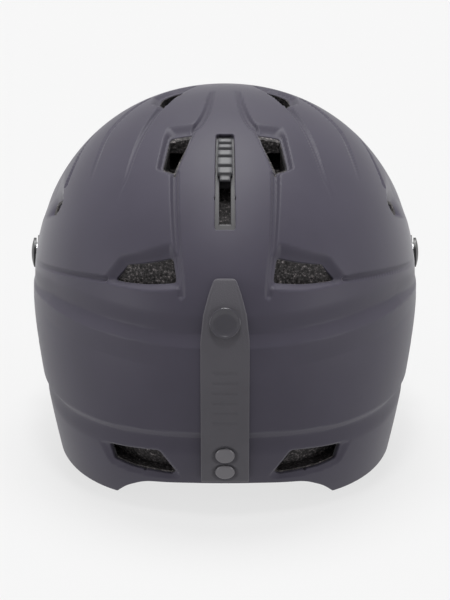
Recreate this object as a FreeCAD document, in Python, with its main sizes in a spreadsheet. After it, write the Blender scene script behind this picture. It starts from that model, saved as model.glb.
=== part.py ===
import FreeCAD, Part
import math
import os

# Ski helmet with visor: a parametric document, one STEP file for each piece.
# Row frame: front towards -Y, +Z up, +X on the wearer's left; origin under the middle, on the floor.
# In names, left and right are as seen by someone who faces the helmet's front.
# Lengths are millimetres and angles are degrees.

V = FreeCAD.Vector

SIZES = {
    # outer form: a widest level, half an ellipsoid above it, a tapering skirt below it
    "wide_level": 93.0,
    "half_width": 110.0,
    "front_reach": 136.5,
    "rear_reach": 143.0,
    "crown_rise": 113.5,
    "shoulder_power": 2.12,
    "skirt_taper": 0.0445,
    "skirt_power": 1.3,
    "skirt_front_drop": 200.0,
    "skirt_rear_drop": 140.0,
    "skirt_square": 0.7,
    "skirt_depth": 95.0,
    "shell_wall": 3.0,
    "layer_gap": 0.3,
    # belt: a band raised round the back and sides
    "belt_raise": 1.2,
    "belt_top_side": 4.0,
    "belt_top_rear": 16.0,
    "belt_low_side": 40.0,
    "belt_low_rear": 41.5,
    "belt_front": 25.0,
    # head cavity inside the foam
    "head_half_width": 80.0,
    "head_front": 102.0,
    "head_rear": 108.0,
    "head_rise": 84.0,
    "head_taper": 3.0,
    # visor: part of a spheroid turned about its own pivot axis
    "pivot_behind": -30.0,
    "pivot_level": 102.0,
    "visor_side": 108.6,
    "visor_reach": 114.5,
    "visor_wall": 2.2,
    "hub_radius": 10.0,
    "hub_bore": 6.0,
    "pocket_radius": 19.0,
    "pocket_floor": 105.2,
    "boss_radius": 21.0,
    "boss_inner": 101.0,
    "screw_radius": 2.4,
    "bush_outer": 109.0,
    "cap_inner": 109.15,
    "cap_radius": 8.5,
    "cap_outer": 112.0,
    # vent slider, on an arc about its own centre
    "track_centre_y": 8.3,
    "track_centre_z": 53.1,
    "track_radius": 152.0,
    "slot_start": 45.0,
    "slot_end": 109.3,
    "slot_floor": 3.0,
    "recess_width": 11.0,
    "recess_depth": 1.6,
    "slot_width": 6.8,
    "shutter_width": 26.0,
    "guide_width": 18.0,
    "knob_width": 8.7,
    "knob_start": 16.3,
    "knob_end": 29.2,
    "knob_proud": 1.8,
    "knob_toe": 1.4,
    # goggle strap at the back
    "strap_width": 27.0,
    "strap_lift": 1.6,
    "strap_thick": 2.0,
    "strap_foot": 20.0,
    "strap_hinge_level": 51.5,
    "strap_top": 142.5,
    "snap_level": 120.2,
    "snap_radius": 8.85,
    "rivet_radius": 5.75,
    "rivet_head": 1.0,
    "upper_rivet_level": 39.8,
    "lower_rivet_level": 28.0,
    # fit system behind the neck
    "dial_level": 26.0,
    "dial_radius": 14.0,
    "dial_thick": 7.0,
    "pinion_radius": 5.0,
    "rack_plane": 98.0,
    "housing_half_width": 22.0,
    "housing_room": 4.6,
    "band_thick": 1.5,
    # foam behind the vents
    "foam_ledge": 2.5,
    "foam_rear_low": 19.0,
    "rim_pocket": 9.0,
    # chin strap
    "chin_strap_y": -14.0,
    "chin_strap_x": 66.0,
    "chin_strap_rise": 80.0,
    "webbing_width": 20.0,
    "webbing_thick": 1.8,
    "webbing_low": 4.4,
    "webbing_bend": 16.0,
}

doc = FreeCAD.newDocument("ski_helmet")
sheet = doc.addObject("Spreadsheet::Sheet", "Sizes")
for row, (alias, number) in enumerate(SIZES.items(), start=1):
    sheet.set(f"A{row}", alias)
    sheet.set(f"B{row}", str(number))
    sheet.setAlias(f"B{row}", alias)
doc.recompute()

LEFT, RIGHT = -1, 1
SIDES = {"left": LEFT, "right": RIGHT}
pieces = []


def size(alias):
    """A driving dimension, read back from the sheet."""
    return float(sheet.get(alias))


def bind(item, **expressions):
    """Bind properties to sheet cells; each cell name gets the sheet's prefix."""
    for prop, cell in expressions.items():
        item.setExpression(prop, "Sizes." + cell)


def piece(item, label):
    """Mark a document object as a finished sub-part."""
    item.Label = label
    pieces.append(item)
    return item


def freeform(name, shape):
    """A doubly curved volume, which neither a sketch nor a primitive can hold."""
    item = doc.addObject("Part::Feature", name)
    item.Shape = shape
    return item


def cut(name, base, tool):
    item = doc.addObject("Part::Cut", name)
    item.Base = base
    item.Tool = tool
    return item


def common(name, base, tool):
    item = doc.addObject("Part::Common", name)
    item.Base = base
    item.Tool = tool
    return item


def fuse(name, *items):
    item = doc.addObject("Part::MultiFuse", name)
    item.Shapes = list(items)
    return item


def box(name, low, high):
    item = doc.addObject("Part::Box", name)
    item.Length = high[0] - low[0]
    item.Width = high[1] - low[1]
    item.Height = high[2] - low[2]
    item.Placement.Base = V(*low)
    return item


def cylinder(name, start, direction, radius, length):
    """A Part::Cylinder; a radius or length given as text is a sheet cell."""
    item = doc.addObject("Part::Cylinder", name)
    if isinstance(radius, str):
        bind(item, Radius=radius)
    else:
        item.Radius = radius
    if isinstance(length, str):
        bind(item, Height=length)
    else:
        item.Height = length
    item.Placement = FreeCAD.Placement(V(*start), FreeCAD.Rotation(V(0, 0, 1), V(*direction)))
    return item


def prism(name, plane, outline, length, centre=(0, 0, 0)):
    """A PartDesign body: a closed outline on an origin plane, padded both ways."""
    body = doc.addObject("PartDesign::Body", name)
    sketch = body.newObject("Sketcher::SketchObject", name + "_sketch")
    plane_feature = [f for f in body.Origin.OriginFeatures if f.Role == plane][0]
    sketch.AttachmentSupport = [(plane_feature, "")]
    sketch.MapMode = "FlatFace"
    corners = [V(a, b, 0) for a, b in outline]
    for first, second in zip(corners, corners[1:] + corners[:1]):
        sketch.addGeometry(Part.LineSegment(first, second), False)
    pad = body.newObject("PartDesign::Pad", name + "_pad")
    pad.Profile = sketch
    pad.Length = length
    pad.Midplane = True
    sketch.Visibility = False
    body.Placement.Base = V(*centre)
    return body


def ring_segment(name, inner, outer, start, end, width):
    """A piece of a tube about the slider's centre; angles run from the top towards the rear.

    A width given as text is a sheet cell."""
    parts = []
    span = size(width) if isinstance(width, str) else width
    for tag, radius in (("outer", outer), ("inner", inner)):
        sector = doc.addObject("Part::Cylinder", f"{name}_{tag}")
        sector.Radius = radius
        if isinstance(width, str):
            bind(sector, Height=width)
        else:
            sector.Height = width
        sector.Angle = end - start
        turn = FreeCAD.Rotation(V(0, 1, 0), 90) * FreeCAD.Rotation(V(0, 0, 1), 180 - end)
        middle = V(-span / 2, size("track_centre_y"), size("track_centre_z"))
        sector.Placement = FreeCAD.Placement(middle, turn)
        parts.append(sector)
    return cut(name, *parts)


# ---------------------------------------------------------------- the helmet's form


def level_sizes(rise, grow=0.0):
    """Half width, front reach, rear reach and squareness at a height above the widest level."""
    if rise >= 0:
        climb = rise / (size("crown_rise") + grow)
        power = size("shoulder_power")
        wide_share = max(0.0, 1 - climb ** power) ** (1 / power)
        share = math.sqrt(max(0.0, 1 - climb ** 2))
        reaches = [(size(span) + grow) * share for span in ("front_reach", "rear_reach")]
        return [(size("half_width") + grow) * wide_share] + reaches + [2.0]
    drop = -rise
    half_width = size("half_width") - size("skirt_taper") * drop ** size("skirt_power")
    front = size("front_reach") * math.sqrt(1 - (drop / size("skirt_front_drop")) ** 2)
    rear = size("rear_reach") * math.sqrt(1 - (drop / size("skirt_rear_drop")) ** 2)
    square = 2.0 + size("skirt_square") * drop / size("skirt_depth")
    return [half_width + grow, front + grow, rear + grow, square]


def ring(half_width, front, rear, square, level):
    """A closed smooth wire: a superellipse with its own front and rear reach."""
    points = []
    count = 28
    for step in range(count):
        turn = 2 * math.pi * step / count
        across, along = math.cos(turn), math.sin(turn)
        reach = rear if along > 0 else front
        x = half_width * math.copysign(abs(across) ** (2 / square), across)
        y = reach * math.copysign(abs(along) ** (2 / square), along)
        points.append(V(x, y, level))
    curve = Part.BSplineCurve()
    curve.interpolate(points, PeriodicFlag=True)
    return Part.Wire(curve.toShape())


def closed_form(rings, crown):
    """One smooth skin through the rings up to the crown point, closed below."""
    return Part.makeLoft(rings + [Part.Vertex(crown)], True, False, False, 5)


def helmet_volume(grow):
    """Everything inside the helmet's outer surface moved out by grow."""
    level = size("wide_level")
    top = size("crown_rise") + grow
    skirt_steps, crown_steps = 7, 11
    rises = [size("skirt_depth") * (step / skirt_steps - 1) for step in range(skirt_steps)]
    rises += [top * math.sin(math.pi / 2 * step / crown_steps) for step in range(crown_steps)]
    rings = [ring(*level_sizes(rise, grow), level + rise) for rise in rises]
    return closed_form(rings, V(0, 0, level + top))


def head_volume(grow):
    """The room for the head, moved out by grow."""
    level = size("wide_level")
    spans = [size(span) + grow for span in ("head_half_width", "head_front", "head_rear")]
    top = size("head_rise") + grow
    floor = -size("layer_gap")
    skirt_steps, crown_steps = 4, 10
    rings = []
    for step in range(skirt_steps):
        share = (1 - step / skirt_steps) ** 2
        spread = [span - size("head_taper") * share for span in spans]
        rings.append(ring(*spread, 2.0, floor + (level - floor) * step / skirt_steps))
    for step in range(crown_steps):
        turn = math.pi / 2 * step / crown_steps
        spread = [span * math.cos(turn) for span in spans]
        rings.append(ring(*spread, 2.0, level + top * math.sin(turn)))
    return closed_form(rings, V(0, 0, level + top))


def surface_frame(level):
    """The rear centre line at a height: its y and its outward direction."""
    rise = level - size("wide_level")
    reach = level_sizes(rise)[2]
    height = size("crown_rise") if rise >= 0 else size("skirt_rear_drop")
    along = V(0, reach / size("rear_reach") ** 2, rise / height ** 2)
    along.normalize()
    return V(0, reach, level), along


def on_surface(level, depth):
    """A point on the rear centre line, moved along the outward direction."""
    point, along = surface_frame(level)
    return point + along * depth


# ------------------------------------------------------------------ cutting outlines

# The face opening and the lower edge, seen from the side as (y, z).
FACE_OUTLINE = [(-200, 106), (-112, 105), (-88, 95), (-70, 72), (-57, 42), (-48, 12), (-40, -8), (-200, -8)]
# The nape arch between the two rear corners, seen from behind as (x, z).
NAPE_OUTLINE = [(-66, -6), (-60.5, 2.6), (-56, 7.8), (-46, 13.8), (-20, 15),
                (20, 15), (46, 13.8), (56, 7.8), (60.5, 2.6), (66, -6)]
# Vents of the left side. Crown and upper vents are seen from above as (x, y).
CROWN_VENT = [(-34.8, -3), (-38.6, -14), (-37.5, -32), (-30, -42), (-21, -48), (-19.5, -42), (-23, -29)]
UPPER_VENT = [(-17.5, 40), (-32, 39), (-36.5, 65), (-29, 70.5)]
# Lower and rim vents are seen from behind as (x, z), and the brow vent from the front.
LOWER_VENT = [(-64.5, 134), (-56.5, 143.5), (-30.5, 151), (-28.5, 140), (-47, 136.5)]
RIM_VENT = [(-67, 35.5), (-38, 37), (-28, 22), (-30, 20), (-53, 22), (-64, 25)]
BROW_VENT = [(-50, 146), (-24, 157), (-20, 148), (-44, 136)]
# The side vent is seen from the side as (y, z).
SIDE_VENT = [(18.5, 152), (24.5, 150.5), (25, 146.8), (10, 140.6), (8, 143.5)]
# The foam's step behind a lower vent and the air channel under the crown, seen from above.
LOWER_STEP = [(-68, 98.5), (-27, 113), (-27, 140), (-82, 120)]
AIR_CHANNEL = [(-31.5, -20), (-22.5, -20), (-22.5, 48), (-31.5, 48)]


def mirrored(outline):
    return [(-a, b) for a, b in outline]


def shrunk(outline, step):
    """The outline with every corner moved towards its middle."""
    middle_a = sum(a for a, b in outline) / len(outline)
    middle_b = sum(b for a, b in outline) / len(outline)
    corners = []
    for a, b in outline:
        share = step / math.hypot(a - middle_a, b - middle_b)
        corners.append((a + (middle_a - a) * share, b + (middle_b - b) * share))
    return corners


def for_side(outline, sign):
    return outline if sign == LEFT else mirrored(outline)


def vent_cutters(tag, ledge):
    """One prism for each vent that goes through; ledge makes the holes that much smaller."""
    cutters = []
    for side, sign in SIDES.items():
        crown = for_side(shrunk(CROWN_VENT, ledge), sign)
        upper = for_side(shrunk(UPPER_VENT, ledge), sign)
        brow = for_side(shrunk(BROW_VENT, ledge), sign)
        cutters.append(prism(f"{tag}_crown_{side}", "XY_Plane", crown, 80, (0, 0, 190)))
        cutters.append(prism(f"{tag}_upper_{side}", "XY_Plane", upper, 80, (0, 0, 185)))
        cutters.append(prism(f"{tag}_brow_{side}", "XZ_Plane", brow, 90, (0, -105, 0)))
    return cutters


def shell_openings():
    """Everything that is cut from the hard shell besides its edges."""
    cutters = vent_cutters("shell_vent", 0.0)
    for side, sign in SIDES.items():
        lower, rim = for_side(LOWER_VENT, sign), for_side(RIM_VENT, sign)
        cutters.append(prism(f"shell_lower_vent_{side}", "XZ_Plane", lower, 90, (0, 110, 0)))
        cutters.append(prism(f"shell_rim_vent_{side}", "XZ_Plane", rim, 60, (0, 115, 0)))
        cutters.append(prism(f"shell_side_vent_{side}", "YZ_Plane", SIDE_VENT, 60, (sign * 92, 0, 0)))
        start = (sign * size("pocket_floor"), size("pivot_behind"), size("pivot_level"))
        cutters.append(cylinder(f"pivot_pocket_{side}", start, (sign, 0, 0), "pocket_radius", 12))
        start = (sign * 90, size("pivot_behind"), size("pivot_level"))
        cutters.append(cylinder(f"pivot_bore_{side}", start, (sign, 0, 0), "screw_radius", 20))
    half_slot = size("slot_width") / 2
    slot_low = (-half_slot, size("slot_start") + 2, 140)
    cutters.append(box("slot_through", slot_low, (half_slot, size("slot_end") - size("slot_floor"), 210)))
    skin = helmet_volume(2.0).cut(helmet_volume(-size("recess_depth")))
    half_recess = size("recess_width") / 2
    reach = size("slot_end") - size("slot_start")
    keep = Part.makeBox(2 * half_recess, reach, 80, V(-half_recess, size("slot_start"), 140))
    cutters.append(freeform("slot_recess", skin.common(keep)))
    for level in ("upper_rivet_level", "lower_rivet_level"):
        point, along = surface_frame(size(level))
        start = point - along * 12
        cutters.append(cylinder("bore_" + level, start, along, 2.5, 24))
    return cutters


# ------------------------------------------------------------------------ the shell


def belt_volume():
    """The raised belt: a grown helmet between two planes that rise towards the rear."""
    grown = helmet_volume(size("belt_raise"))
    level = size("wide_level")
    span = 160.0
    rear = size("rear_reach")

    def line(side_rise, rear_rise, y):
        return level + side_rise + (rear_rise - side_rise) * y / rear

    front = size("belt_front")
    top = [(y, line(size("belt_top_side"), size("belt_top_rear"), y)) for y in (front, span)]
    low = [(y, line(-size("belt_low_side"), -size("belt_low_rear"), y)) for y in (span, front)]
    wire = Part.makePolygon([V(-span, y, z) for y, z in top + low + top[:1]])
    slab = Part.Face(wire).extrude(V(2 * span, 0, 0))
    return grown.common(slab)


def make_outer_shell():
    outer = helmet_volume(0)
    hollow = helmet_volume(-size("shell_wall"))
    wall = outer.fuse(belt_volume()).cut(hollow)
    bosses = []
    for sign in SIDES.values():
        start = V(sign * size("boss_inner"), size("pivot_behind"), size("pivot_level"))
        rod = Part.makeCylinder(size("boss_radius"), 20, start, V(sign, 0, 0))
        bosses.append(rod.common(outer))
    body = freeform("shell_wall_body", wall.fuse(bosses))
    edges = fuse(
        "shell_edges",
        prism("face_opening", "YZ_Plane", FACE_OUTLINE, 300),
        prism("nape_arch", "XZ_Plane", NAPE_OUTLINE, 90, (0, 105, 0)),
        box("below_floor", (-200, -200, -20), (200, 200, 0)),
    )
    trimmed = cut("shell_trimmed", body, edges)
    openings = fuse("shell_openings", *shell_openings())
    return piece(cut("outer_shell_cut", trimmed, openings), "outer_shell")


def foam_pocket(name, plane, outline, offset, depth):
    """A blind pocket behind a vent, as deep all over below the foam's outer face."""
    face = size("shell_wall") + size("layer_gap")
    skin = helmet_volume(1.0).cut(helmet_volume(-face - depth))
    tool = prism(name + "_outline", plane, outline, 60, offset)
    return common(name, freeform(name + "_skin", skin), tool)


def foam_vents():
    """Through holes, air channels and blind pockets behind the shell's vents."""
    ledge = size("foam_ledge")
    cutters = vent_cutters("foam_vent", ledge)
    for side, sign in SIDES.items():
        channel, step = for_side(AIR_CHANNEL, sign), for_side(LOWER_STEP, sign)
        rim = [(x, z + ledge) for x, z in for_side(RIM_VENT, sign)]
        cutters.append(prism(f"air_channel_{side}", "XY_Plane", channel, 11, (0, 0, 182.5)))
        cutters.append(prism(f"lower_step_{side}", "XY_Plane", step, 21, (0, 0, 142.5)))
        cutters.append(foam_pocket(f"rim_pocket_{side}", "XZ_Plane", rim, (0, 115, 0), size("rim_pocket")))
        side_hole = shrunk(SIDE_VENT, ledge / 2)
        cutters.append(foam_pocket(f"side_pocket_{side}", "YZ_Plane", side_hole, (sign * 92, 0, 0), 12))
    return cutters


def make_foam_liner():
    gap = size("layer_gap")
    foam = helmet_volume(-size("shell_wall") - gap).cut(head_volume(0))
    body = freeform("foam_body", foam)
    wider = [(y + 4 if y > -150 else y, z + 3 if z > 100 else z) for y, z in FACE_OUTLINE]
    tools = foam_vents()
    tools.append(prism("foam_face", "YZ_Plane", wider, 300))
    tools.append(box("foam_below", (-200, -200, -20), (200, 200, 9)))
    tools.append(box("foam_nape", (-27, 60, -20), (27, 200, 46)))
    tools.append(box("foam_rear_edge", (-62, 60, -20), (62, 200, size("foam_rear_low"))))
    for side, sign in SIDES.items():
        low, high = sorted((sign * 60, sign * 120))
        tools.append(box(f"foam_ear_{side}", (low, -60, -20), (high, 36, 76)))
        start = (sign * (size("boss_inner") - gap), size("pivot_behind"), size("pivot_level"))
        tools.append(cylinder(f"foam_boss_{side}", start, (sign, 0, 0), size("boss_radius") + gap, 20))
        start = (sign * 92, size("pivot_behind"), size("pivot_level"))
        tools.append(cylinder(f"foam_nut_{side}", start, (sign, 0, 0), 7.0, 20))
    tools.append(ring_segment("foam_slider_pocket", 138.0, 152.0, 8, 45, 34))
    liner = cut("foam_liner_cut", body, fuse("foam_openings", *tools))
    split, front, rear, far = 150.0, -42.0, 46.0, 160.0
    blocks = {
        "foam_crown": ((-far, -far, split), (far, far, 220)),
        "foam_front": ((-far, -far, 0), (far, front, split)),
        "foam_rear": ((-far, rear, 0), (far, far, split)),
        "foam_side_left": ((-far, front, 0), (0, rear, split)),
        "foam_side_right": ((0, front, 0), (far, rear, split)),
    }
    for name, (low, high) in blocks.items():
        piece(common(name + "_body", liner, box(name + "_block", low, high)), name)


# ----------------------------------------------------------------------- soft parts


def layer(outer, inner, low, high):
    """A pad that follows the head cavity, between two growths and inside a box."""
    spans = [b - a for a, b in zip(low, high)]
    keep = Part.makeBox(*spans, V(*low))
    return head_volume(outer).cut(head_volume(inner)).common(keep)


def make_pads():
    piece(freeform("crown_pad_body", layer(-0.4, -6, (-17, -62, 150), (17, 60, 200))), "crown_pad")
    piece(freeform("brow_pad_body", layer(-0.4, -7, (-62, -120, 112), (62, -40, 130))), "brow_pad")
    piece(freeform("rear_pad_body", layer(-0.4, -6, (-50, 40, 78), (50, 120, 116))), "rear_pad")
    gap = size("layer_gap")
    for side, sign in SIDES.items():
        low, high = sorted((sign * 60, sign * 110))
        block = helmet_volume(-size("shell_wall") - gap).cut(head_volume(-2))
        block = block.common(Part.makeBox(high - low, 74, 64, V(low, -42, 9)))
        body = freeform(f"ear_block_{side}", block)
        mouth = cylinder(f"ear_mouth_{side}", (sign * 60, -2, 42), (sign, 0, 0), 17, 22)
        piece(cut(f"ear_pad_{side}_cut", body, mouth), f"ear_pad_{side}")


# -------------------------------------------------------------------------- the visor

# The lens and its arms, seen from the side as (y, z). Both share the arm line at y = -66.
ARM_OUTLINE = [(-30, 110), (-50, 103), (-66, 104), (-66, 84), (-46, 84), (-30, 94)]
LENS_OUTLINE = [(-66.3, 114.5), (-150, 112), (-150, 24), (-112, 25), (-88, 32), (-76, 48), (-69, 72), (-66.3, 92)]
SEAL_OUTLINE = [(-90, 112.6), (-150, 111), (-150, 106), (-90, 107.6)]


def spheroid(side_reach, turn_reach):
    """A ball about the pivots, round in side view and stretched across."""
    stretch = FreeCAD.Matrix()
    stretch.scale(side_reach, turn_reach, turn_reach)
    ball = Part.makeSphere(1.0).transformGeometry(stretch)
    ball.translate(V(0, size("pivot_behind"), size("pivot_level")))
    return ball


def visor_skin(inset_out, inset_in):
    side, reach = size("visor_side"), size("visor_reach")
    outer = spheroid(side - inset_out, reach - inset_out)
    return outer.cut(spheroid(side - inset_in, reach - inset_in))


def make_visor():
    skin = freeform("visor_lens_skin", visor_skin(0.0, size("visor_wall")))
    outline = prism("visor_lens_outline", "YZ_Plane", LENS_OUTLINE, 300)
    piece(common("visor_lens_body", skin, outline), "visor_lens")
    lining = freeform("visor_seal_skin", visor_skin(size("visor_wall") + 0.02, size("visor_wall") + 1.4))
    seal_outline = prism("visor_seal_outline", "YZ_Plane", SEAL_OUTLINE, 160)
    piece(common("visor_seal_body", lining, seal_outline), "visor_seal")
    for side, sign in SIDES.items():
        pivot = (sign * 90, size("pivot_behind"), size("pivot_level"))
        arm_skin = freeform(f"arm_skin_{side}", visor_skin(0.0, size("visor_wall")))
        plate = prism(f"arm_plate_{side}", "YZ_Plane", ARM_OUTLINE, 60, (sign * 95, 0, 0))
        hub = cylinder(f"arm_hub_{side}", pivot, (sign, 0, 0), "hub_radius", 40)
        solid = common(f"arm_solid_{side}", arm_skin, fuse(f"arm_area_{side}", plate, hub))
        bore = cylinder(f"arm_bore_{side}", pivot, (sign, 0, 0), "hub_bore", 40)
        piece(cut(f"arm_cut_{side}", solid, bore), f"visor_arm_{side}")


def pivot_rod(name, sign, near, far, radius):
    start = (sign * near, size("pivot_behind"), size("pivot_level"))
    return cylinder(name, start, (sign, 0, 0), radius, far - near)


def make_pivots():
    screws, nuts, bushes = [], [], []
    for side, sign in SIDES.items():
        bush_end = size("bush_outer")
        screws.append(pivot_rod(f"screw_{side}", sign, 97, bush_end, "screw_radius"))
        nut = pivot_rod(f"nut_{side}", sign, 97.5, size("boss_inner"), 5.5)
        nuts.append(cut(f"nut_cut_{side}", nut, pivot_rod(f"nut_bore_{side}", sign, 96, 102, "screw_radius")))
        bush = pivot_rod(f"bush_{side}", sign, size("pocket_floor"), bush_end, 5.7)
        bore = pivot_rod(f"bush_bore_{side}", sign, 104, 111, "screw_radius")
        bushes.append(cut(f"bush_cut_{side}", bush, bore))
        disc = pivot_rod(f"cap_disc_{side}", sign, size("cap_inner"), size("cap_outer"), "cap_radius")
        dome_radius = 26.0
        centre = V(sign * (size("cap_outer") - dome_radius), size("pivot_behind"), size("pivot_level"))
        ball = doc.addObject("Part::Sphere", f"cap_ball_{side}")
        ball.Radius = dome_radius
        ball.Placement.Base = centre
        piece(common(f"cap_{side}", disc, ball), f"pivot_cap_{side}")
    piece(fuse("pivot_screws_all", *screws), "pivot_screws")
    piece(fuse("pivot_nuts_all", *nuts), "pivot_nuts")
    piece(fuse("pivot_bushes_all", *bushes), "pivot_bushes")


# -------------------------------------------------------------------- the vent slider


# How far down the knob each finger groove lies.
KNOB_GROOVES = (0.15, 0.32, 0.53, 0.79)


def make_slider():
    radius = size("track_radius")
    start, end = size("knob_start"), size("knob_end")
    gap = size("layer_gap")
    floor = radius - size("recess_depth") + gap
    top_end = end - size("knob_toe")
    top = ring_segment("knob_top", floor, radius + size("knob_proud"), start, top_end, "knob_width")
    toe = ring_segment("knob_toe", floor, radius + 0.4, top_end, end, size("slot_width"))
    stem = ring_segment("knob_stem", 147.0, floor + 0.2, start + 2.5, end - 3, size("slot_width") - 0.8)
    knob = fuse("knob_solid", top, toe, stem)
    grooves = []
    for step, share in enumerate(KNOB_GROOVES):
        angle = math.radians(start + (top_end - start) * share)
        ridge = radius + size("knob_proud") + 0.3
        y = size("track_centre_y") + ridge * math.sin(angle)
        z = size("track_centre_z") + ridge * math.cos(angle)
        grooves.append(cylinder(f"knob_groove_{step}", (-10, y, z), (1, 0, 0), 0.9, 20))
    piece(cut("knob_cut", knob, fuse("knob_grooves", *grooves)), "slider_knob")
    piece(ring_segment("shutter_plate", 145.2, 147.0, start - 0.5, end, "shutter_width"), "vent_shutter")
    plate = ring_segment("guide_plate", 147.3, 148.2, 12, 42, "guide_width")
    slot = ring_segment("guide_slot", 146, 150, 14, 41, "slot_width")
    piece(cut("guide_cut", plate, slot), "slider_guide")


# ------------------------------------------------------------------- the goggle strap


def strap_layer():
    low, high = size("strap_lift"), size("strap_lift") + size("strap_thick")
    return helmet_volume(high).cut(helmet_volume(low))


def strap_hinge():
    """Centre of the bend between the riveted foot and the flap."""
    return on_surface(size("strap_hinge_level"), size("strap_lift") + size("strap_thick") / 2)


def make_goggle_strap():
    half = size("strap_width") / 2
    hinge = strap_hinge()
    hinge_level = hinge.z
    roll = size("strap_thick") / 2
    wall = strap_layer()
    foot_top = hinge_level - roll - 0.4
    foot_box = Part.makeBox(2 * half, 100, foot_top - size("strap_foot"), V(-half, 60, size("strap_foot")))
    foot = freeform("strap_foot_body", wall.common(foot_box))
    bores = []
    for level in ("upper_rivet_level", "lower_rivet_level"):
        point, along = surface_frame(size(level))
        bores.append(cylinder("foot_bore_" + level, point, along, 2.5, 12))
    piece(cut("strap_foot_cut", foot, fuse("strap_foot_bores", *bores)), "strap_base")

    top = size("strap_top")
    outline = [(-half, hinge_level), (half, hinge_level), (half, 110), (half - 1.5, 124), (7.5, 138),
               (6.3, top), (-6.3, top), (-7.5, 138), (1.5 - half, 124), (-half, 110)]
    wire = Part.makePolygon([V(x, 60, z) for x, z in outline + outline[:1]])
    flap = wall.common(Part.Face(wire).extrude(V(0, 110, 0)))
    rod = Part.makeCylinder(roll, 2 * half, V(-half, hinge.y, hinge.z), V(1, 0, 0))
    flap_body = freeform("strap_flap_body", flap.fuse(rod))
    point, along = surface_frame(size("snap_level"))
    hole = cylinder("snap_hole", point, along, 5.0, 12)
    piece(cut("strap_flap_cut", flap_body, hole), "strap_flap")


def make_snap_and_rivets():
    point, along = surface_frame(size("snap_level"))
    under = size("strap_lift") + size("strap_thick")
    belt = size("belt_raise")
    base = cylinder("stud_base", point + along * 0.0, along, 4.4, belt)
    post = cylinder("stud_post", point + along * belt, along, 3.6, under + 0.8 - belt)
    piece(fuse("stud_all", base, post), "snap_stud")
    rim = cylinder("snap_rim", point + along * under, along, "snap_radius", 2.2)
    dish = doc.addObject("Part::Sphere", "snap_dish")
    dish.Radius = 40.0
    dish.Placement.Base = point + along * (under + 2.2 - 0.7 + 40.0)
    socket = cylinder("snap_socket", point + along * (under - 1), along, 4.0, 2.1)
    piece(cut("snap_cap_cut", rim, fuse("snap_hollows", dish, socket)), "snap_cap")
    rivets = []
    for level in ("upper_rivet_level", "lower_rivet_level"):
        point, along = surface_frame(size(level))
        head = cylinder("head_" + level, point + along * under, along, "rivet_radius", "rivet_head")
        shank = cylinder("shank_" + level, point - along * 5, along, 2.5, under + 5)
        rivets.append(fuse("rivet_" + level, head, shank))
    piece(fuse("strap_rivets_all", *rivets), "strap_rivets")


# --------------------------------------------------------------------- the fit system


def make_cradle(plane):
    plate = box("cradle_plate", (-21, plane - 7, 13), (21, plane - 4.6, 70))
    hanger = box("cradle_hanger", (-8, plane - 4.6, 62), (8, 108, 68))
    piece(fuse("cradle_all", plate, hanger), "fit_cradle")
    piece(box("nape_pad_body", (-20, plane - 12, 15), (20, plane - 7.2, 60)), "nape_pad")


def make_dial(plane, level):
    half = size("housing_half_width")
    case = box("housing_case", (-half, plane - 4.3, level - 12), (half, plane + 4, level + 12))
    low = plane - size("housing_room") / 2
    room = box("housing_room", (-half - 2, low, level - 9.5), (half + 2, plane + 1.8, level + 9.5))
    shaft_hole = cylinder("housing_hole", (0, plane + 1, level), (0, 1, 0), 3.2, 6)
    piece(cut("housing_cut", case, fuse("housing_hollow", room, shaft_hole)), "dial_housing")
    screws = []
    for sign in (LEFT, RIGHT):
        start = (sign * (half - 4), plane + 4, level + 10)
        screws.append(cylinder(f"housing_screw_{sign}", start, (0, 1, 0), 1.8, 1.2))
    piece(fuse("housing_screws_all", *screws), "housing_screws")

    knob = cylinder("dial_knob", (0, plane + 5.4, level), (0, 1, 0), "dial_radius", "dial_thick")
    notches = []
    count = 12
    for step in range(count):
        turn = 2 * math.pi * step / count
        reach = size("dial_radius") + 1.2
        centre = (reach * math.cos(turn), plane + 3, level + reach * math.sin(turn))
        notches.append(cylinder(f"dial_notch_{step}", centre, (0, 1, 0), 2.2, 12))
    piece(cut("dial_cut", knob, fuse("dial_notches", *notches)), "fit_dial")
    gear = cylinder("pinion_gear", (0, plane - 1.5, level), (0, 1, 0), size("pinion_radius") - 0.2, 3)
    shaft = cylinder("pinion_shaft", (0, plane + 1.5, level), (0, 1, 0), 2.9, 3.9)
    piece(fuse("pinion_all", gear, shaft), "dial_pinion")


def make_fit_band(side, sign, plane, level):
    """A toothed tail in the housing, joined to a strip that follows the head to the temple."""
    pitch, thick = size("pinion_radius"), size("band_thick")
    width = 3.4
    rack_low = level + pitch if sign == LEFT else level - pitch - width
    start, end = sorted((sign * 2, sign * 27))
    low, high = (start, plane - thick / 2, rack_low), (end, plane + thick / 2, rack_low + width)
    rack = box(f"rack_{side}", low, high)
    start, end = sorted((sign * 25, sign * 27))
    reach = pitch + width
    link = box(f"rack_link_{side}", (start, plane - 1.4, level - reach), (end, plane + 1.4, level + reach))
    start, end = sorted((sign * 25, sign * 82))
    strip = head_volume(-1.5).cut(head_volume(-1.5 - thick))
    strip = strip.common(Part.makeBox(end - start, 70, 8.8, V(start, 36, level - 4.4)))
    strip_body = freeform(f"band_strip_{side}", strip)
    piece(fuse(f"band_{side}", rack, link, strip_body), f"fit_band_{side}")


def make_fit_system():
    plane, level = size("rack_plane"), size("dial_level")
    make_cradle(plane)
    make_dial(plane, level)
    for side, sign in SIDES.items():
        make_fit_band(side, sign, plane, level)


# --------------------------------------------------------------------- the chin strap


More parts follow.
